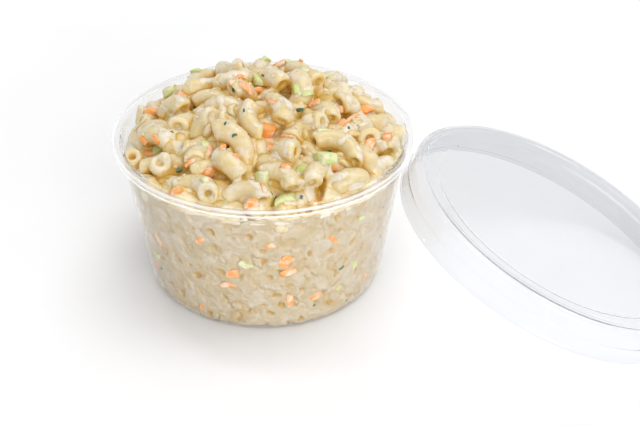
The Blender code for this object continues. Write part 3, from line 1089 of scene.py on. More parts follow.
    def extra_wall_elbows(self, taken: list[Elbow], spacing: float = 6.4) -> list[Elbow]:
        """More elbows between those of the rows, some of them end on to the wall.

        Args:
            taken: the elbows already at the wall.
            spacing: least distance between two middles.

        Returns:
            The new elbows.
        """
        rng = np.random.default_rng(self.extra_wall_seed)
        middles = [elbow.middle for elbow in taken]
        elbows = []
        for _ in range(self.tries * 2):
            around = rng.uniform(0.0, 2.0 * math.pi)
            z = rng.uniform(*self.extra_heights)
            end_on = rng.uniform() < self.end_on_share
            inset = rng.uniform(4.6, 6.6) if end_on else rng.uniform(2.4, 4.0)
            middle, side, up, normal = self.wall_frame(around, z, inset)
            heading = rng.uniform(0.0, 2.0 * math.pi)
            tip = rng.uniform(0.9, 1.4) if end_on else rng.uniform(-0.35, 0.35)
            if min(float(np.linalg.norm(middle - other)) for other in middles) < spacing:
                continue
            middles.append(middle)
            first = math.cos(heading) * side + math.sin(heading) * up
            across = np.cross(normal, first)
            first = math.cos(tip) * first + math.sin(tip) * normal
            third = np.cross(first, across)
            turn = np.stack([first, across, third], 1)
            elbows.append(Elbow(middle, turn, rng.uniform(8.0, 9.5), rng.uniform(85, 115)))
        return elbows


@dataclass
class Noodles:
    """Models one short tube and copies it along each elbow's bend."""

    heap: Heap
    sides: int = 20
    steps: int = 16
    hole_radius: float = 1.5
    hole_depth: float = 3.4
    length: float = 18.0
    reach: float = 0.15
    seed: int = 41
    coat: float = 0.36
    under_coat: float = 0.5
    wall_behind: float = 2.2
    rim_gain: float = 1.7
    rim_heights: tuple[float, float] = (49.0, 54.0)
    coats: list[np.ndarray] = field(default_factory=list)

    def tube(self) -> Pattern:
        """Models the straight tube with rounded rims and open ends.

        Returns:
            The tube along Z, as a pattern.
        """
        half = self.length / 2.0
        outer = self.heap.tube_radius
        hole = self.hole_radius
        start = [(hole * 0.5, -half + self.hole_depth), (hole * 0.85, -half + self.hole_depth * 0.7)]
        start += [(hole * 0.95, -half + 1.5), (hole, -half + 0.7), (hole + 0.3, -half + 0.15)]
        start += [((hole + outer) / 2.0, -half - 0.25), (outer - 0.85, -half), (outer - 0.28, -half + 0.45)]
        middle = [(outer, z) for z in np.linspace(-half + 1.3, half - 1.3, self.steps)]
        end = [(radius, -z) for radius, z in reversed(start)]
        return Pattern.taken_from(turned_piece("noodle_pattern", start + middle + end, self.sides))

    def bent(
        self, tube: Pattern, elbow: Elbow, rng: np.random.Generator, coat: bool
    ) -> tuple[np.ndarray, np.ndarray]:
        """Bends the tube along an elbow, with the unevenness of a boiled noodle.

        Args:
            tube: the straight tube.
            elbow: where it lies and how it is bent.
            rng: draws its slant, squash and twist.
            coat: whether dressing clings to it.

        Returns:
            Its points in millimetres, and tone, inside (painted shade in the hole) and deep of each.
        """
        z = tube.points[:, 2].copy()
        flat = tube.points[:, :2].copy()
        radial = np.hypot(flat[:, 0], flat[:, 1])
        near_end = smooth_share(np.abs(z), self.length * 0.30, self.length * 0.5)
        slant = rng.uniform(-0.22, 0.22, (2, 2))
        side = (z > 0).astype(int)
        z = z + near_end * (flat[:, 0] * slant[side, 0] + flat[:, 1] * slant[side, 1])
        squash = rng.uniform(-0.09, 0.09)
        size = rng.uniform(0.88, 1.0)
        flat[:, 0] *= size * (1.0 + squash)
        flat[:, 1] *= size * (1.0 - squash)
        flare = 1.0 + rng.uniform(-0.06, 0.06) * near_end - rng.uniform(0.0, 0.06) * (1.0 - near_end)
        flat *= flare[:, None]
        length = elbow.bend * math.radians(elbow.arc)
        angle = z / self.length * length / elbow.bend
        out = elbow.bend + flat[:, 0]
        local = np.stack([out * np.sin(angle), out * np.cos(angle) - elbow.bend, flat[:, 1]], 1)
        points = local @ elbow.turn.T + elbow.middle
        outward = np.stack([flat[:, 0] * np.sin(angle), flat[:, 0] * np.cos(angle), flat[:, 1]], 1)
        outward = outward / np.maximum(radial, 0.5)[:, None] @ elbow.turn.T
        skin = smooth_share(radial, self.hole_radius + 0.3, self.heap.tube_radius - 0.4)
        bumps = lumps(points, 5.5, 1.0) * 0.38 + lumps(points, 2.2, 2.0) * 0.12
        points = points + outward * (bumps * skin)[:, None]
        # Painted shade: inside marks the depth of the hole, which the pasta finish paints golden.
        inside = 1.0 - smooth_share(radial, self.hole_radius * 0.95, self.hole_radius + 0.12)
        sunk = smooth_share(self.length / 2.0 - np.abs(tube.points[:, 2]), 0.2, 2.2)
        tone = np.full(len(points), rng.uniform(0.0, 0.75))
        if coat:
            self.coats.append(self.coated(points, outward, skin))
        return points, np.stack([tone, inside * sunk, 0.0 * tone], 1)

    def coated(self, points: np.ndarray, outward: np.ndarray, skin: np.ndarray) -> np.ndarray:
        """A skin over a noodle that stands proud of it in patches and lies under it elsewhere.

        Args:
            points: the noodle's points.
            outward: the direction away from its centre line at each.
            skin: 1 on its outside, 0 in its hole.

        Returns:
            The skin's points.
        """
        patches = smooth_share(lumps(points, 4.6, 6.0, 3), -0.08, 0.5)
        thick = patches * (self.coat + self.under_coat) - self.under_coat
        thick = thick + patches * lumps(points, 1.8, 7.0) * 0.25
        return self.in_cup(points + outward * (thick * (1.5 * skin - 0.5))[:, None])

    def in_cup(self, points: np.ndarray, behind: float | np.ndarray = 0.0) -> np.ndarray:
        """Presses points against the cup: they reach just into its wall and floor and no further.

        Args:
            points: places in millimetres.
            behind: how far behind that limit they stay.

        Returns:
            The pressed places.
        """
        cup = self.heap.cup
        points = points.copy()
        points[:, 2] = np.maximum(points[:, 2], cup.base_thick - self.reach + behind)
        radial = np.hypot(points[:, 0], points[:, 1])
        most = cup.inner_radius(points[:, 2]) + self.reach - behind
        points[:, :2] *= np.minimum(1.0, most / np.maximum(radial, 1e-6))[:, None]
        return points

    def batch(self, name: str, elbows: list[Elbow], tube: Pattern, coat: bool = True) -> Batch:
        """Copies the tube along elbows.

        Args:
            name: the joined piece's name.
            elbows: where the copies lie.
            tube: the straight tube.
            coat: whether dressing clings to them.

        Returns:
            The batch, ready to be joined.
        """
        rng = np.random.default_rng(self.seed + len(elbows))
        batch = Batch(name)
        for elbow in elbows:
            points, shades = self.bent(tube, elbow, rng, coat)
            near_rim = smooth_share(points[:, 2], *self.rim_heights)
            behind = 0.0 if coat else self.wall_behind - self.rim_gain * near_rim
            batch.add(self.in_cup(points, behind), tube.faces, shades)
        return batch


@dataclass
class Occlusion:
    """How much of the open space around a place the salad hides, which sets the painted shade in crevices."""

    tree: BVHTree
    reach: float = 10.0
    rays: int = 9
    start_gap: float = 0.05
    lowest: float = 46.0
    evened: int = 3

    def directions(self, normals: np.ndarray) -> np.ndarray:
        """Directions spread over the half space that each normal faces.

        Args:
            normals: one direction for each place.

        Returns:
            An array of places by rays by three.
        """
        index = np.arange(self.rays) + 0.5
        out = np.sqrt(1.0 - index / self.rays)
        flat = np.sqrt(index / self.rays)
        around = index * GOLDEN_ANGLE
        helper = np.where(np.abs(normals[:, 2:]) < 0.9, [[0.0, 0.0, 1.0]], [[1.0, 0.0, 0.0]])
        first = np.cross(normals, helper)
        first /= np.maximum(np.linalg.norm(first, axis=1), 1e-6)[:, None]
        second = np.cross(normals, first)
        spread = first[:, None, :] * (flat * np.cos(around))[None, :, None]
        spread = spread + second[:, None, :] * (flat * np.sin(around))[None, :, None]
        return spread + normals[:, None, :] * out[None, :, None]

    def shares(self, piece: bpy.types.Object) -> np.ndarray:
        """Share of the rays from each vertex that meet the salad, evened out along the mesh.

        Args:
            piece: a finished mesh.

        Returns:
            One share from 0 to 1 for each vertex.
        """
        points = points_of(piece)
        flat = np.empty(len(points) * 3)
        piece.data.vertex_normals.foreach_get("vector", flat)
        normals = flat.reshape(-1, 3)
        shares = np.zeros(len(points))
        chosen = np.nonzero(points[:, 2] > self.lowest)[0]
        starts = (points[chosen] + normals[chosen] * self.start_gap).tolist()
        spread = self.directions(normals[chosen]).tolist()
        cast = self.tree.ray_cast
        for place, start, ways in zip(chosen.tolist(), starts, spread):
            met = sum(1 for way in ways if cast(start, way, self.reach)[0] is not None)
            shares[place] = met / self.rays
        ends = np.empty(len(piece.data.edges) * 2, dtype=np.int64)
        piece.data.edges.foreach_get("vertices", ends)
        ends = ends.reshape(-1, 2)
        for _ in range(self.evened):
            total = shares.copy()
            count = np.ones(len(points))
            for here, there in ((ends[:, 0], ends[:, 1]), (ends[:, 1], ends[:, 0])):
                np.add.at(total, here, shares[there])
                np.add.at(count, here, 1.0)
            shares = total / count
        return shares


@dataclass
class Dressing:
    """The mass of dressing and hidden noodles, with the coats and dabs that cling to the noodles."""

    heap: Heap
    sides: int = 200
    levels: int = 44
    rings: int = 44
    below_top: float = 6.6
    behind_wall: float = 3.6
    voxel: float = 0.78
    crown_drop: float = 2.0
    top_dabs: int = 60
    seed: int = 61

    def section(self) -> list[tuple[float, float]]:
        """A plain section that is given its relief afterwards: floor, wall and flat top.

        Returns:
            Radius and height of each corner.
        """
        cup = self.heap.cup
        low = cup.base_thick
        top = self.heap.edge_z - self.crown_drop
        floor = [(radius, low) for radius in np.linspace(4.0, 44.0, 14)]
        wall = [(float(cup.inner_radius(z)), float(z)) for z in np.linspace(low + 0.3, top, self.levels)]
        crown = [(radius, top) for radius in np.linspace(53.0, 1.5, self.rings)]
        return floor + wall + crown

    def core(self, noodles: Noodles) -> Pattern:
        """Models the mass and gives it relief.

        Args:
            noodles: gives the press against the cup.

        Returns:
            The mass as a pattern.
        """
        pattern = Pattern.taken_from(turned_piece("core_pattern", self.section(), self.sides))
        points = pattern.points.copy()
        radial = np.hypot(points[:, 0], points[:, 1])
        on_crown = points[:, 2] > self.heap.edge_z - self.crown_drop - 0.01
        relief = lumps(points, 9.0, 3.0, 3)
        fine = lumps(points, 3.2, 4.0, 2)
        surface = self.heap.surface(points[:, 0], points[:, 1])
        edge = smooth_share(radial, 46.0, 53.0)
        height = surface - self.below_top * (1.0 - 0.6 * edge) + 1.6 * relief + 0.5 * fine
        points[:, 2] = np.where(on_crown, height, points[:, 2])
        push = self.behind_wall + 0.8 * relief + 0.3 * fine
        share = 1.0 - push / np.maximum(radial, 1.0)
        upper = smooth_share(points[:, 2], 48.0, 54.0)
        points[:, :2] *= np.where(on_crown | (radial < 30.0), 1.0, share * (1.0 - upper) + upper)[:, None]
        return Pattern(noodles.in_cup(points), pattern.faces)

    def dabs(self, noodles: Noodles, carrier: BVHTree) -> list[Pattern]:
        """Dabs of dressing thrown onto the noodles, flattened on what they lie on.

        Args:
            noodles: gives the press against the cup.
            carrier: search tree of the noodles and the mass.

        Returns:
            One pattern for each dab.
        """
        deselect_all()
        bpy.ops.mesh.primitive_ico_sphere_add(subdivisions=3, radius=MM)
        ball = bpy.context.active_object
        edit_mode(True)
        bpy.ops.mesh.select_all(action="SELECT")
        bpy.ops.transform.resize(value=(1.0, 0.85, 0.55), center_override=(0.0, 0.0, 0.0))
        edit_mode(False)
        pattern = Pattern.taken_from(ball)
        rng = np.random.default_rng(self.seed)
        placed = []
        for i in range(self.top_dabs):
            around = rng.uniform(0.0, 2.0 * math.pi)
            reach = 51.0 * math.sqrt(rng.uniform())
            start = Vector((reach * math.cos(around), reach * math.sin(around), 120.0))
            spot, normal, _, _ = carrier.ray_cast(start, Vector((0.0, 0.0, -1.0)))
            size = rng.uniform(1.4, 3.4)
            twist = Matrix.Rotation(rng.uniform(0.0, 6.28), 3, "Z")
            if spot is None:
                continue
            turn = np.array(normal.to_track_quat("Z", "Y").to_matrix() @ twist)
            points = pattern.points * size * (1.0 + 0.35 * lumps(pattern.points * size + i * 7.0, 1.6, 8.0))[:, None]
            points = points @ turn.T + np.array(spot) - np.array(normal) * size * 0.28
            placed.append(Pattern(noodles.in_cup(points), pattern.faces))
        return placed

    def build(self, noodles: Noodles, tube: Pattern, layers: Sequence[Batch]) -> bpy.types.Object:
        """Melts the mass, the coats and the dabs into one creamy surface.

        Args:
            noodles: gives the coats and the press against the cup.
            tube: the straight tube, whose faces the coats have.
            layers: the batches of noodles.

        Returns:
            The surface as one mesh, its shades still to be written.
        """
        core = self.core(noodles)
        carrier = Batch("carrier")
        carrier.add(core.points, core.faces, np.zeros((len(core.points), 3)))
        for layer in layers:
            for points, shades in zip(layer.points, layer.shades):
                carrier.add(points, tube.faces, shades)
        raw = Batch("creamy_dressing")
        shells = [core] + [Pattern(points, tube.faces) for points in noodles.coats]
        shells += self.dabs(noodles, carrier.tree())
        for shell in shells:
            raw.add(shell.points, shell.faces, np.zeros((len(shell.points), 3)))
        piece = raw.joined()
        piece.data.color_attributes.remove(piece.data.color_attributes["shades"])
        deselect_all()
        bpy.context.view_layer.objects.active = piece
        melt = piece.modifiers.new("melt", "REMESH")
        melt.mode = "VOXEL"
        melt.voxel_size = self.voxel * MM
        melt.use_smooth_shade = True
        soften = piece.modifiers.new("soften", "SMOOTH")
        soften.factor = 0.5
        soften.iterations = 2
        for name in ("melt", "soften"):
            bpy.ops.object.modifier_apply(modifier=name)
        move_points(piece, noodles.in_cup(points_of(piece)))
        return piece


@dataclass
class PressedFace:
    """The salad as it lies against the clear wall: noodles cut by it, dressing between them and small pockets."""

    heap: Heap
    sides: int = 220
    levels: int = 38
    cuts: int = 2
    line_points: int = 30
    tube_radius: float = 3.6
    hole_radius: float = 1.2
    below_edge: float = 2.4
    wall_from: float = 45.0
    floor_radii: tuple[float, ...] = (4.0, 20.0, 36.0, 44.4)
    crown: tuple[tuple[float, float], ...] = ((50.0, 1.0), (46.0, 6.0), (4.0, 8.0))
    line_width: float = 0.36
    line_depth: float = 0.08
    bed_depth: float = 0.2
    hole_depth: float = 0.9
    pocket_depth: float = 1.2
    recess_depth: float = 0.5
    lump_depth: float = 0.16
    edge_wave: float = 1.5

    def section(self) -> list[tuple[float, float]]:
        """Floor, wall and a low crown that the mass covers.

        Returns:
            Radius and height of each corner.
        """
        cup = self.heap.cup
        low = cup.base_thick
        top = self.heap.edge_z - self.below_edge
        floor = [(radius, low) for radius in self.floor_radii]
        wall = [(float(cup.inner_radius(z)), float(z)) for z in np.linspace(low + 0.1, top, self.levels)]
        return floor + wall + [(radius, top - drop) for radius, drop in self.crown]

    def plain(self) -> bpy.types.Object:
        """Models the plain turned form and cuts its wall into small faces.

        Returns:
            The form.
        """
        piece = turned_piece("pressed_salad", self.section(), self.sides)
        bpy.context.scene.tool_settings.mesh_select_mode = (False, False, True)
        edit_mode(True)
        bpy.ops.mesh.select_all(action="DESELECT")
        edit_mode(False)
        top = self.heap.edge_z - self.below_edge
        for face in piece.data.polygons:
            radial = math.hypot(face.center.x, face.center.y) / MM
            below = face.center.z / MM < top - 0.3 * (radial < 50.5)
            face.select = radial > self.wall_from and below and len(face.vertices) == 4
        edit_mode(True)
        bpy.ops.mesh.subdivide(number_cuts=self.cuts)
        edit_mode(False)
        bpy.context.scene.tool_settings.mesh_select_mode = (True, False, False)
        return piece

    def nearest_lines(self, points: np.ndarray, elbows: Sequence[Elbow]) -> tuple[np.ndarray, np.ndarray]:
        """Distance from each point to the nearest noodle's centre line, and that noodle's number.

        Args:
            points: places in millimetres.
            elbows: the noodles near the wall.

        Returns:
            The distances and the numbers.
        """
        tree = KDTree(len(elbows) * self.line_points)
        for number, elbow in enumerate(elbows):
            angles = math.radians(elbow.arc) / 2.0 * np.linspace(-1.0, 1.0, self.line_points)
            line = np.stack([elbow.bend * np.sin(angles), elbow.bend * (np.cos(angles) - 1.0), 0.0 * angles], 1)
            for place in (line @ elbow.turn.T + elbow.middle).tolist():
                tree.insert(place, number)
        tree.balance()
        found = [tree.find(point) for point in points.tolist()]
        return np.array([far for _, _, far in found]), np.array([number for _, number, _ in found])

    def build(self, noodles: Noodles, elbows: Sequence[Elbow]) -> bpy.types.Object:
        """Gives the plain form its relief and its shades, with painted shade in holes, pockets and recesses.

        Args:
            noodles: gives the press against the cup.
            elbows: the noodles near the wall.

        Returns:
            The pressed face, closed behind by its floor and crown.
        """
        piece = self.plain()
        points = points_of(piece)
        radial = np.hypot(points[:, 0], points[:, 1])
        top = self.heap.edge_z - self.below_edge
        on_wall = radial > self.wall_from
        far, numbers = self.nearest_lines(points, elbows)
        rng = np.random.default_rng(len(elbows))
        tone = rng.uniform(0.25, 1.0, len(elbows))[numbers]
        gap = far - self.tube_radius - 1.0 * lumps(points, 4.5, 9.0, 2)
        bits = 1.5 * (0.16 - lumps(points, 4.0, 15.0, 1))
        gap = np.where(gap > 0.9, np.minimum(gap, bits), gap)
        pasta = 1.0 - smooth_share(gap, -0.25, 0.3)
        line = np.exp(-((gap / self.line_width) ** 2)) * smooth_share(lumps(points, 4.0, 10.0), -0.1, 0.5)
        from_hole = far + 0.6 * lumps(points, 2.6, 16.0) - self.hole_radius
        hole = 1.0 - smooth_share(from_hole, -0.3, 0.25)
        loose = smooth_share(lumps(points, 8.0, 12.0, 2), 0.02, 0.4)
        pocket = smooth_share(gap, 0.3, 1.0) * (1.0 - smooth_share(gap, 1.7, 2.4)) * loose
        recess = smooth_share(lumps(points, 5.5, 21.0, 2), 0.22, 0.34)
        depth = self.line_depth * line + self.bed_depth * (1.0 - pasta) + self.hole_depth * hole
        depth += self.pocket_depth * pocket + self.recess_depth * recess + self.lump_depth * lumps(points, 2.4, 14.0)
        wave = lumps(points * np.array([1.0, 1.0, 0.0]), 9.0, 13.0) * smooth_share(points[:, 2], top - 9.0, top)
        points[:, 2] += np.where(on_wall, self.edge_wave * wave, 0.0)
        points[:, :2] *= (1.0 - np.where(on_wall, depth, 0.0) / np.maximum(radial, 1.0))[:, None]
        move_points(piece, noodles.in_cup(points, 0.06))
        # Painted shade: holes, pockets and recesses get the golden pocket colour on top of their real depth.
        golden = np.clip(0.9 * hole + pocket + 0.3 * recess, 0.0, 1.0)
        write_shades(piece, np.stack([pasta * tone, 0.6 * line, golden], 1))
        return piece


class Kind(Enum):
    """The chopped pieces in the salad."""

    CRUMB = "dressing_crumbs"
    CARROT = "carrot_pieces"
    CELERY = "celery_pieces"
    HERB = "herb_flecks"


@dataclass
class PhotoCamera:
    """The camera at the photograph's viewing angle."""

    focal: float = 1100.0
    pitch: float = 33.91
    roll: float = 0.9
    eye: tuple[float, float, float] = (22.07, -371.39, 272.52)
    width: int = 640
    height: int = 426
    sensor: float = 36.0

    def axes(self) -> tuple[np.ndarray, np.ndarray, np.ndarray]:
        """Directions to the right, up and back of the camera.

        Returns:
            The three directions.
        """
        pitch = math.radians(self.pitch)
        roll = math.radians(self.roll)
        back = np.array([0.0, -math.cos(pitch), math.sin(pitch)])
        right = np.array([1.0, 0.0, 0.0])
        up = np.cross(back, right)
        turned_right = right * math.cos(roll) + up * math.sin(roll)
        turned_up = -right * math.sin(roll) + up * math.cos(roll)
        return turned_right, turned_up, back

    def ray(self, px: float, py: float) -> tuple[Vector, Vector]:
        """Start and direction of the line of sight through a place in the picture."""
        right, up, back = self.axes()
        across = (px - self.width / 2.0) / self.focal
        down = (py - self.height / 2.0) / self.focal
        return Vector(self.eye), Vector(right * across - up * down - back).normalized()

    def build(self) -> None:
        """Makes the camera and sets it as the scene's."""
        data = bpy.data.cameras.new("photo_camera")
        data.sensor_width = self.sensor
        data.sensor_fit = "HORIZONTAL"
        data.lens = self.sensor * self.focal / self.width
        data.clip_start = 0.01
        data.clip_end = 20.0
        camera = bpy.data.objects.new("photo_camera", data)
        right, up, back = self.axes()
        turn = Matrix([right, up, back]).transposed().to_4x4()
        camera.matrix_world = Matrix.Translation(Vector(self.eye) * MM) @ turn
        bpy.context.scene.collection.objects.link(camera)
        bpy.context.scene.camera = camera
        log.info("camera placed")


# Chopped pieces seen in the picture: kind, place (across, down), length, width, thickness and heading in degrees.
SEEN_PIECES = (
    (Kind.CARROT, 267, 133, 7.0, 5.6, 4.6, 80),
    (Kind.CARROT, 270, 148, 6.0, 2.8, 2.4, 85),
    (Kind.CARROT, 152, 113, 5.0, 4.2, 2.8, 60),
    (Kind.CARROT, 144, 140, 3.4, 1.8, 1.4, 150),
    (Kind.CARROT, 157, 140, 3.4, 2.0, 1.6, 140),
    (Kind.CARROT, 150, 155, 4.6, 2.4, 1.8, 10),
    (Kind.CARROT, 208, 172, 4.6, 3.4, 2.4, 40),
    (Kind.CARROT, 223, 147, 5.0, 2.0, 1.6, 75),
    (Kind.CARROT, 236, 156, 3.0, 1.6, 1.2, 50),
    (Kind.CARROT, 190, 163, 4.0, 2.2, 1.6, 20),
    (Kind.CARROT, 250, 205, 5.0, 3.0, 2.2, 10),
    (Kind.CARROT, 369, 144, 4.6, 3.6, 2.6, 60),
    (Kind.CARROT, 387, 138, 3.2, 2.6, 2.0, 80),
    (Kind.CARROT, 350, 120, 6.5, 2.2, 1.6, 15),
    (Kind.CARROT, 341, 124, 4.4, 2.8, 2.0, 30),
    (Kind.CARROT, 316, 103, 4.2, 2.2, 1.6, -20),
    (Kind.CARROT, 366, 109, 5.0, 3.2, 2.0, 40),
    (Kind.CARROT, 280, 65, 5.0, 2.4, 1.8, 10),
    (Kind.CARROT, 246, 88, 6.0, 2.8, 2.0, -30),
    (Kind.CARROT, 259, 91, 4.6, 2.8, 2.0, 10),
    (Kind.CARROT, 232, 82, 2.6, 1.6, 1.2, 40),
    (Kind.CARROT, 176, 192, 4.0, 1.8, 1.4, 20),
    (Kind.CELERY, 159, 99, 8.0, 3.2, 2.8, 80),
    (Kind.CELERY, 169, 93, 6.0, 2.2, 2.2, 35),
    (Kind.CELERY, 159, 149, 5.0, 3.2, 2.2, 20),
    (Kind.CELERY, 323, 159, 8.0, 5.4, 4.0, 120),
    (Kind.CELERY, 303, 173, 6.0, 4.6, 3.4, 60),
    (Kind.CELERY, 263, 183, 7.0, 4.0, 3.2, 95),
    (Kind.CELERY, 284, 199, 6.6, 2.6, 2.2, 10),
    (Kind.CELERY, 259, 81, 5.0, 2.8, 2.2, -10),
    (Kind.CELERY, 297, 89, 4.6, 2.0, 1.6, 90),
    (Kind.CELERY, 324, 130, 4.6, 1.6, 1.2, 15),
    (Kind.CELERY, 308, 93, 4.0, 1.8, 1.4, 20),
    (Kind.HERB, 196, 107, 3.0, 2.2, 0.6, 20),
    (Kind.HERB, 179, 170, 2.8, 2.4, 0.6, 70),
    (Kind.HERB, 299, 110, 4.4, 2.0, 0.6, 10),
    (Kind.HERB, 234, 89, 3.4, 2.0, 0.6, 80),
    (Kind.HERB, 275, 199, 3.4, 1.6, 0.6, 20),
    (Kind.HERB, 301, 197, 1.8, 1.2, 0.6, 80),
    (Kind.HERB, 172, 132, 1.8, 1.2, 0.6, 10),
    (Kind.HERB, 329, 151, 2.2, 1.2, 0.6, 20),
    (Kind.CARROT, 285, 262, 5.4, 4.2, 2.0, 60),
    (Kind.CARROT, 288, 272, 4.8, 3.8, 2.0, 20),
    (Kind.CARROT, 270, 246, 4.4, 2.8, 1.6, 30),
    (Kind.CARROT, 232, 274, 4.4, 3.0, 1.6, 20),
    (Kind.CARROT, 228, 284, 5.4, 2.2, 1.6, 10),
    (Kind.CARROT, 290, 300, 6.6, 2.6, 1.8, 85),
    (Kind.CARROT, 316, 296, 4.0, 2.6, 1.6, 20),
    (Kind.CARROT, 365, 276, 3.8, 1.6, 1.4, 70),
    (Kind.HERB, 162, 268, 3.2, 1.6, 0.5, 60),
    (Kind.HERB, 341, 268, 2.8, 1.4, 0.5, 20),
)


@dataclass
class Chopped:
    """Carrot, celery, herb flecks and dabs of dressing, each kind modelled once and laid on what carries it."""

    noodles: Noodles
    camera: PhotoCamera
    seed: int = 53
    growth: float = 1.1
    herb_growth: float = 0.8
    top_reach: float = 50.0
    wall_heights: tuple[float, float] = (3.0, 55.0)
    top_counts: dict[Kind, int] = field(
        default_factory=lambda: {Kind.CRUMB: 260, Kind.CARROT: 15, Kind.CELERY: 9, Kind.HERB: 12}
    )
    wall_counts: dict[Kind, int] = field(
        default_factory=lambda: {Kind.CRUMB: 0, Kind.CARROT: 18, Kind.CELERY: 16, Kind.HERB: 12}
    )

    def pattern(self, kind: Kind) -> Pattern:
        """Models one piece of a kind, one millimetre long, wide and thick.

        Args:
            kind: which chopped piece.

        Returns:
            The piece as a pattern.
        """
        deselect_all()
        bpy.ops.mesh.primitive_cube_add(size=1.0 * MM)
        piece = bpy.context.active_object
        edit_mode(True)
        bpy.ops.mesh.select_all(action="SELECT")
        bpy.ops.mesh.bevel(offset=(0.13 if kind is Kind.CARROT else 0.09) * MM, segments=1)
        bpy.ops.mesh.select_all(action="SELECT")
        bpy.ops.mesh.subdivide(number_cuts=1)
        edit_mode(False)
        return Pattern.taken_from(piece)

    def laid(self, pattern: Pattern, kind: Kind, size: Sequence[float], rng: np.random.Generator) -> np.ndarray:
        """Gives a copy its size and an uneven, slightly bent form.

        Args:
            pattern: the modelled piece.
            kind: which chopped piece.
            size: length, width and thickness.
            rng: draws its unevenness.

        Returns:
            Its points, lying flat with its middle at the origin.
        """
        points = pattern.points * np.array(size)
        share = pattern.points[:, 0]
        taper = 1.0 - rng.uniform(0.0, 0.45) * np.abs(share + rng.uniform(-0.2, 0.2)) * 1.6
        points[:, 1:] *= taper[:, None]
        curl = {Kind.CRUMB: 0.0, Kind.CARROT: 0.10, Kind.CELERY: 0.22, Kind.HERB: 0.25}[kind]
        points[:, 2] -= curl * size[0] * (4.0 * share**2) * 0.5
        points[:, 1] += rng.uniform(-0.12, 0.12) * size[0] * (4.0 * share**2)
        jitter = lumps(points + rng.uniform(0.0, 400.0, 3), max(size) * 0.5, 5.0)
        return points * (1.0 + 0.42 * jitter)[:, None]

    def seat(self, points: np.ndarray, spot: Vector, normal: Vector, heading: float, sink: float) -> np.ndarray:
        """Turns a copy onto a face and sinks it a little.

        Args:
            points: the copy, lying flat.
            spot: the place on the face.
            normal: the face's outward direction.
            heading: turn about that direction in degrees.
            sink: how far its middle lies over the face, negative for under it.

        Returns:
            Its points in place.
        """
        up = np.array(normal)
        right = self.camera.axes()[0]
        first = right - up * float(right @ up)
        first = first / max(float(np.linalg.norm(first)), 1e-6)
        second = np.cross(up, first)
        angle = math.radians(heading)
        along = math.cos(angle) * first + math.sin(angle) * second
        turn = np.stack([along, np.cross(up, along), up], 1)
        return points @ turn.T + np.array(spot) + up * sink

    def random_size(self, kind: Kind, rng: np.random.Generator) -> tuple[float, float, float]:
        """Draws the length, width and thickness of one piece of a kind."""
        if kind is Kind.CRUMB:
            size = rng.uniform(0.4, 1.2)
            return size, size * rng.uniform(0.7, 1.0), size * rng.uniform(0.5, 0.9)
        if kind is Kind.CARROT:
            return rng.uniform(2.6, 6.0), rng.uniform(1.4, 2.4), rng.uniform(1.0, 1.8)
        if kind is Kind.CELERY:
            return rng.uniform(2.8, 5.2), rng.uniform(1.6, 3.0), rng.uniform(1.2, 2.0)
        return rng.uniform(0.9, 2.2), rng.uniform(0.5, 1.1), 0.4

    def add(self, batch: Batch, pattern: Pattern, points: np.ndarray, rng: np.random.Generator) -> None:
        """Adds a seated copy with a tone of its own."""
        points = self.noodles.in_cup(points)
        shades = np.zeros((len(points), 3))
        shades[:, 0] = rng.uniform(0.0, 1.0)
        batch.add(points, pattern.faces, shades)

    def batches(self, carrier: BVHTree) -> dict[Kind, Batch]:
        """Lays every chopped piece on the noodles and the mass.

        Args:
            carrier: search tree of what carries the pieces.

        Returns:
            One batch for each kind.
        """
        rng = np.random.default_rng(self.seed)
        patterns = {kind: self.pattern(kind) for kind in Kind}
        batches = {kind: Batch(kind.value) for kind in Kind}
        for kind, px, py, length, width, thick, heading in SEEN_PIECES:
            start, sight = self.camera.ray(px, py)
            hit = carrier.ray_cast(start, sight)
            if hit[0] is None:
                continue
            grown = self.herb_growth if kind is Kind.HERB else self.growth
            points = self.laid(patterns[kind], kind, (length * grown, width * grown, thick), rng)
            self.add(batches[kind], patterns[kind], self.seat(points, hit[0], hit[1], heading, thick * 0.2), rng)
        heap = self.noodles.heap
        for kind in Kind:
            for _ in range(self.top_counts[kind]):
                radius = self.top_reach * math.sqrt(rng.uniform())
                around = rng.uniform(0.0, 2.0 * math.pi)
                start = Vector((radius * math.cos(around), radius * math.sin(around), 120.0))
                hit = carrier.ray_cast(start, Vector((0.0, 0.0, -1.0)))
                self.lay_random(batches[kind], patterns[kind], kind, hit, rng, 0.1)
            for _ in range(self.wall_counts[kind]):
                around = rng.uniform(0.0, 2.0 * math.pi)
                z = rng.uniform(*self.wall_heights)
                out = Vector((math.cos(around), math.sin(around), 0.0))
                hit = carrier.ray_cast(out * 80.0 + Vector((0.0, 0.0, z)), -out)
                self.lay_random(batches[kind], patterns[kind], kind, hit, rng, 0.0)
        log.info("heap height over the middle: %.1f mm", float(heap.surface(0.0, 0.0)))
        return batches

    def lay_random(
        self, batch: Batch, pattern: Pattern, kind: Kind, hit: tuple, rng: np.random.Generator, lift: float
    ) -> None:
        """Lays one piece of a random size on a place that a ray found.

        Args:
            batch: where the copy goes.
            pattern: the modelled piece.
            kind: which chopped piece.
            hit: what the search tree gave.
            rng: draws its size and heading.
            lift: share of its thickness that its middle lies over the face.
        """
        size = self.random_size(kind, rng)
        heading = rng.uniform(0.0, 360.0)
        points = self.laid(pattern, kind, size, rng)
        if hit[0] is not None:
            self.add(batch, pattern, self.seat(points, hit[0], hit[1], heading, size[2] * lift), rng)


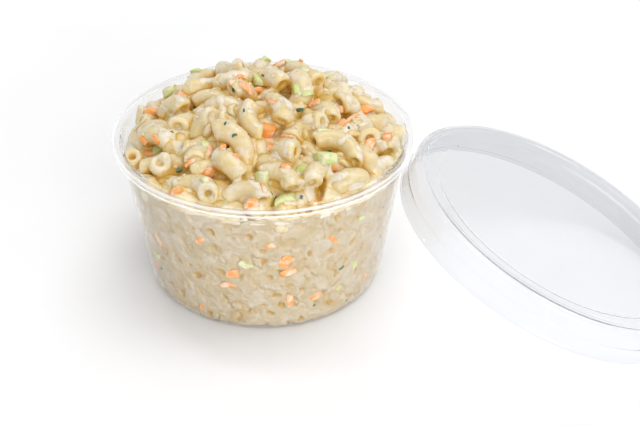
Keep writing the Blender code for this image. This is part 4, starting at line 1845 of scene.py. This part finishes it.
@dataclass
class Salad:
    """The heap of salad: dressing mass, three layers of elbows and the chopped pieces."""

    cup: Cup
    camera: PhotoCamera
    pasta: PastaFinish
    dressing: DressingFinish
    pressed: PressedFinish
    carrot: VegetableFinish
    celery: VegetableFinish
    herb: VegetableFinish
    rim_from: float = 44.0
    # The painted shade of crevices and of food behind the wall: its heights, occlusion shares, strength and wall
    # distances.
    top_heights: tuple[float, float] = (47.0, 54.0)
    hidden_shares: tuple[float, float] = (0.28, 0.95)
    wall_shade: float = 0.85
    wall_gaps: tuple[float, float] = (0.35, 4.0)

    def build(self, groups: Groups) -> None:
        """Builds and dresses every piece of the salad.

        Args:
            groups: the shared shader groups.
        """
        heap = Heap(self.cup)
        noodles = Noodles(heap)
        tube = noodles.tube()
        top = noodles.batch("noodles_top", heap.top_elbows(), tube)
        under = noodles.batch("noodles_under", heap.under_elbows(), tube)
        pressed = heap.wall_elbows()
        extra = heap.extra_wall_elbows(pressed)
        at_wall = pressed + extra
        near_rim = [elbow for elbow in extra if elbow.middle[2] > self.rim_from]
        wall = noodles.batch("noodles_wall", pressed + near_rim, tube, coat=False)
        pieces = [layer.joined() for layer in (top, under, wall)]
        mass = Dressing(heap).build(noodles, tube, (top, under, wall))
        pieces.append(mass)
        face = PressedFace(heap).build(noodles, at_wall)
        dress(face, self.pressed.material(groups), "salad")
        carrier = Batch("carrier")
        for piece in pieces + [face]:
            points = points_of(piece)
            carrier.add(points, faces_of(piece), np.zeros((len(points), 3)))
        tree = carrier.tree()
        pasta = self.pasta.material(groups)
        cream = self.dressing.material(groups)
        occlusion = Occlusion(tree)
        write_shades(mass, np.zeros((len(mass.data.vertices), 3)))
        for piece in pieces:
            self.paint_deep_shade(piece, noodles, occlusion)
            dress(piece, cream if piece is mass else pasta, "salad")
        finishes = {Kind.CARROT: self.carrot, Kind.CELERY: self.celery, Kind.HERB: self.herb}
        for kind, batch in Chopped(noodles, self.camera).batches(tree).items():
            finish = cream if kind is Kind.CRUMB else finishes[kind].material(groups)
            dress(batch.joined(), finish, "salad")

    def paint_deep_shade(self, piece: bpy.types.Object, noodles: Noodles, occlusion: Occlusion) -> None:
        """Writes painted shade into the deep share of each vertex: by what hides it on top, and by its distance from
        the wall lower down.

        Args:
            piece: a joined piece of the salad.
            noodles: gives the cup's wall.
            occlusion: gives what is hidden.
        """
        points = points_of(piece)
        behind = noodles.heap.cup.inner_radius(points[:, 2]) - np.hypot(points[:, 0], points[:, 1])
        upper = smooth_share(points[:, 2], *self.top_heights)
        hidden = smooth_share(occlusion.shares(piece), *self.hidden_shares)
        # Painted shade: hidden places on top and places behind the wall turn golden.
        deep = (upper * hidden + (1.0 - upper) * self.wall_shade) * smooth_share(behind, *self.wall_gaps)
        layer = piece.data.color_attributes["shades"].data
        flat = np.empty(len(points) * 4)
        layer.foreach_get("color", flat)
        values = flat.reshape(-1, 4)
        values[:, 2] = deep
        layer.foreach_set("color", values.ravel())


@dataclass
class Studio:
    """The pale floor and the soft light."""

    floor_size: float = 6.0
    world_strength: float = 0.71
    dome_low: tuple[float, ...] = (0.93, 0.935, 0.945, 1.0)
    dome_high: tuple[float, ...] = (1.0, 1.0, 1.0, 1.0)

    def build_floor(self, finish: PaleFloorFinish, groups: Groups) -> None:
        """Lays the floor.

        Args:
            finish: its finish.
            groups: the shared shader groups.
        """
        deselect_all()
        bpy.ops.mesh.primitive_plane_add(size=self.floor_size)
        floor = bpy.context.active_object
        floor.name = "pale_floor"
        floor.data.materials.append(finish.material(groups))

    def build_world(self) -> None:
        """A soft white dome, slightly darker low down."""
        world = bpy.data.worlds.new("soft_dome")
        world.use_nodes = True
        tree = world.node_tree
        place = add_node(tree, "TexCoord", {}).outputs["Generated"]
        height = add_node(tree, "SeparateXYZ", {"Vector": place}).outputs["Z"]
        ramp = add_node(tree, "ValToRGB", {"Fac": height})
        stops = ((0.05, self.dome_low), (0.75, self.dome_high))
        for stop, (position, colour) in zip(ramp.color_ramp.elements, stops):
            stop.position = position
            stop.color = colour
        light = {"Color": ramp.outputs["Color"], "Strength": self.world_strength}
        feed_node(tree, tree.nodes["Background"], light)
        bpy.context.scene.world = world

    def build_lamp(self, name: str, place: Sequence[float], size: float, power: float) -> None:
        """Adds one soft lamp that faces the cup.

        Args:
            name: the lamp's name.
            place: where it is, in metres.
            size: its side in metres.
            power: its power in watts.
        """
        data = bpy.data.lights.new(name, "AREA")
        data.shape = "SQUARE"
        data.size = size
        data.energy = power
        lamp = bpy.data.objects.new(name, data)
        target = Vector((0.02, 0.0, 0.04))
        lamp.location = place
        lamp.rotation_mode = "QUATERNION"
        lamp.rotation_quaternion = (target - Vector(place)).to_track_quat("-Z", "Y")
        bpy.context.scene.collection.objects.link(lamp)

    def build(self, groups: Groups) -> None:
        """Builds the floor, the dome and the lamps."""
        self.build_floor(PaleFloorFinish(), groups)
        self.build_world()
        self.build_lamp("key", (0.85, 0.40, 2.9), 1.8, 27.0)
        self.build_lamp("front", (1.25, -2.75, 1.3), 2.0, 41.0)
        self.build_lamp("glint", (-0.5, 0.6, 2.0), 0.25, 2.6)
        bpy.context.scene.view_settings.view_transform = "Standard"
        log.info("studio built")


def main() -> None:
    """Builds the cup, the lid, the salad, the studio and the camera."""
    logging.basicConfig(level=logging.INFO, format="%(name)s: %(message)s")
    groups = Groups()
    cup = Cup()
    edge = ClearPlasticFinish("cup_edge_haze_and_highlight_finish", (251, 251, 251), clear=0.4)
    cup.build(ClearPlasticFinish("clear_plastic_finish", (251, 251, 251)), edge, groups)
    Lid().build(ClearPlasticFinish("lid_plastic_finish", (236, 237, 239), 0.84), groups)
    camera = PhotoCamera()
    carrot = VegetableFinish("carrot_finish", (247, 188, 124), (245, 156, 66), (243, 222, 198), 0.56, 420.0)
    celery = VegetableFinish("celery_finish", (226, 228, 184), (202, 215, 126), (238, 231, 206), 0.54, 380.0)
    herb = VegetableFinish("herb_finish", (92, 124, 76), (60, 98, 80), (210, 216, 190), 0.44, 600.0)
    Salad(cup, camera, PastaFinish(), DressingFinish(), PressedFinish(), carrot, celery, herb).build(groups)
    Studio().build(groups)
    camera.build()


if __name__ == "__main__":
    main()
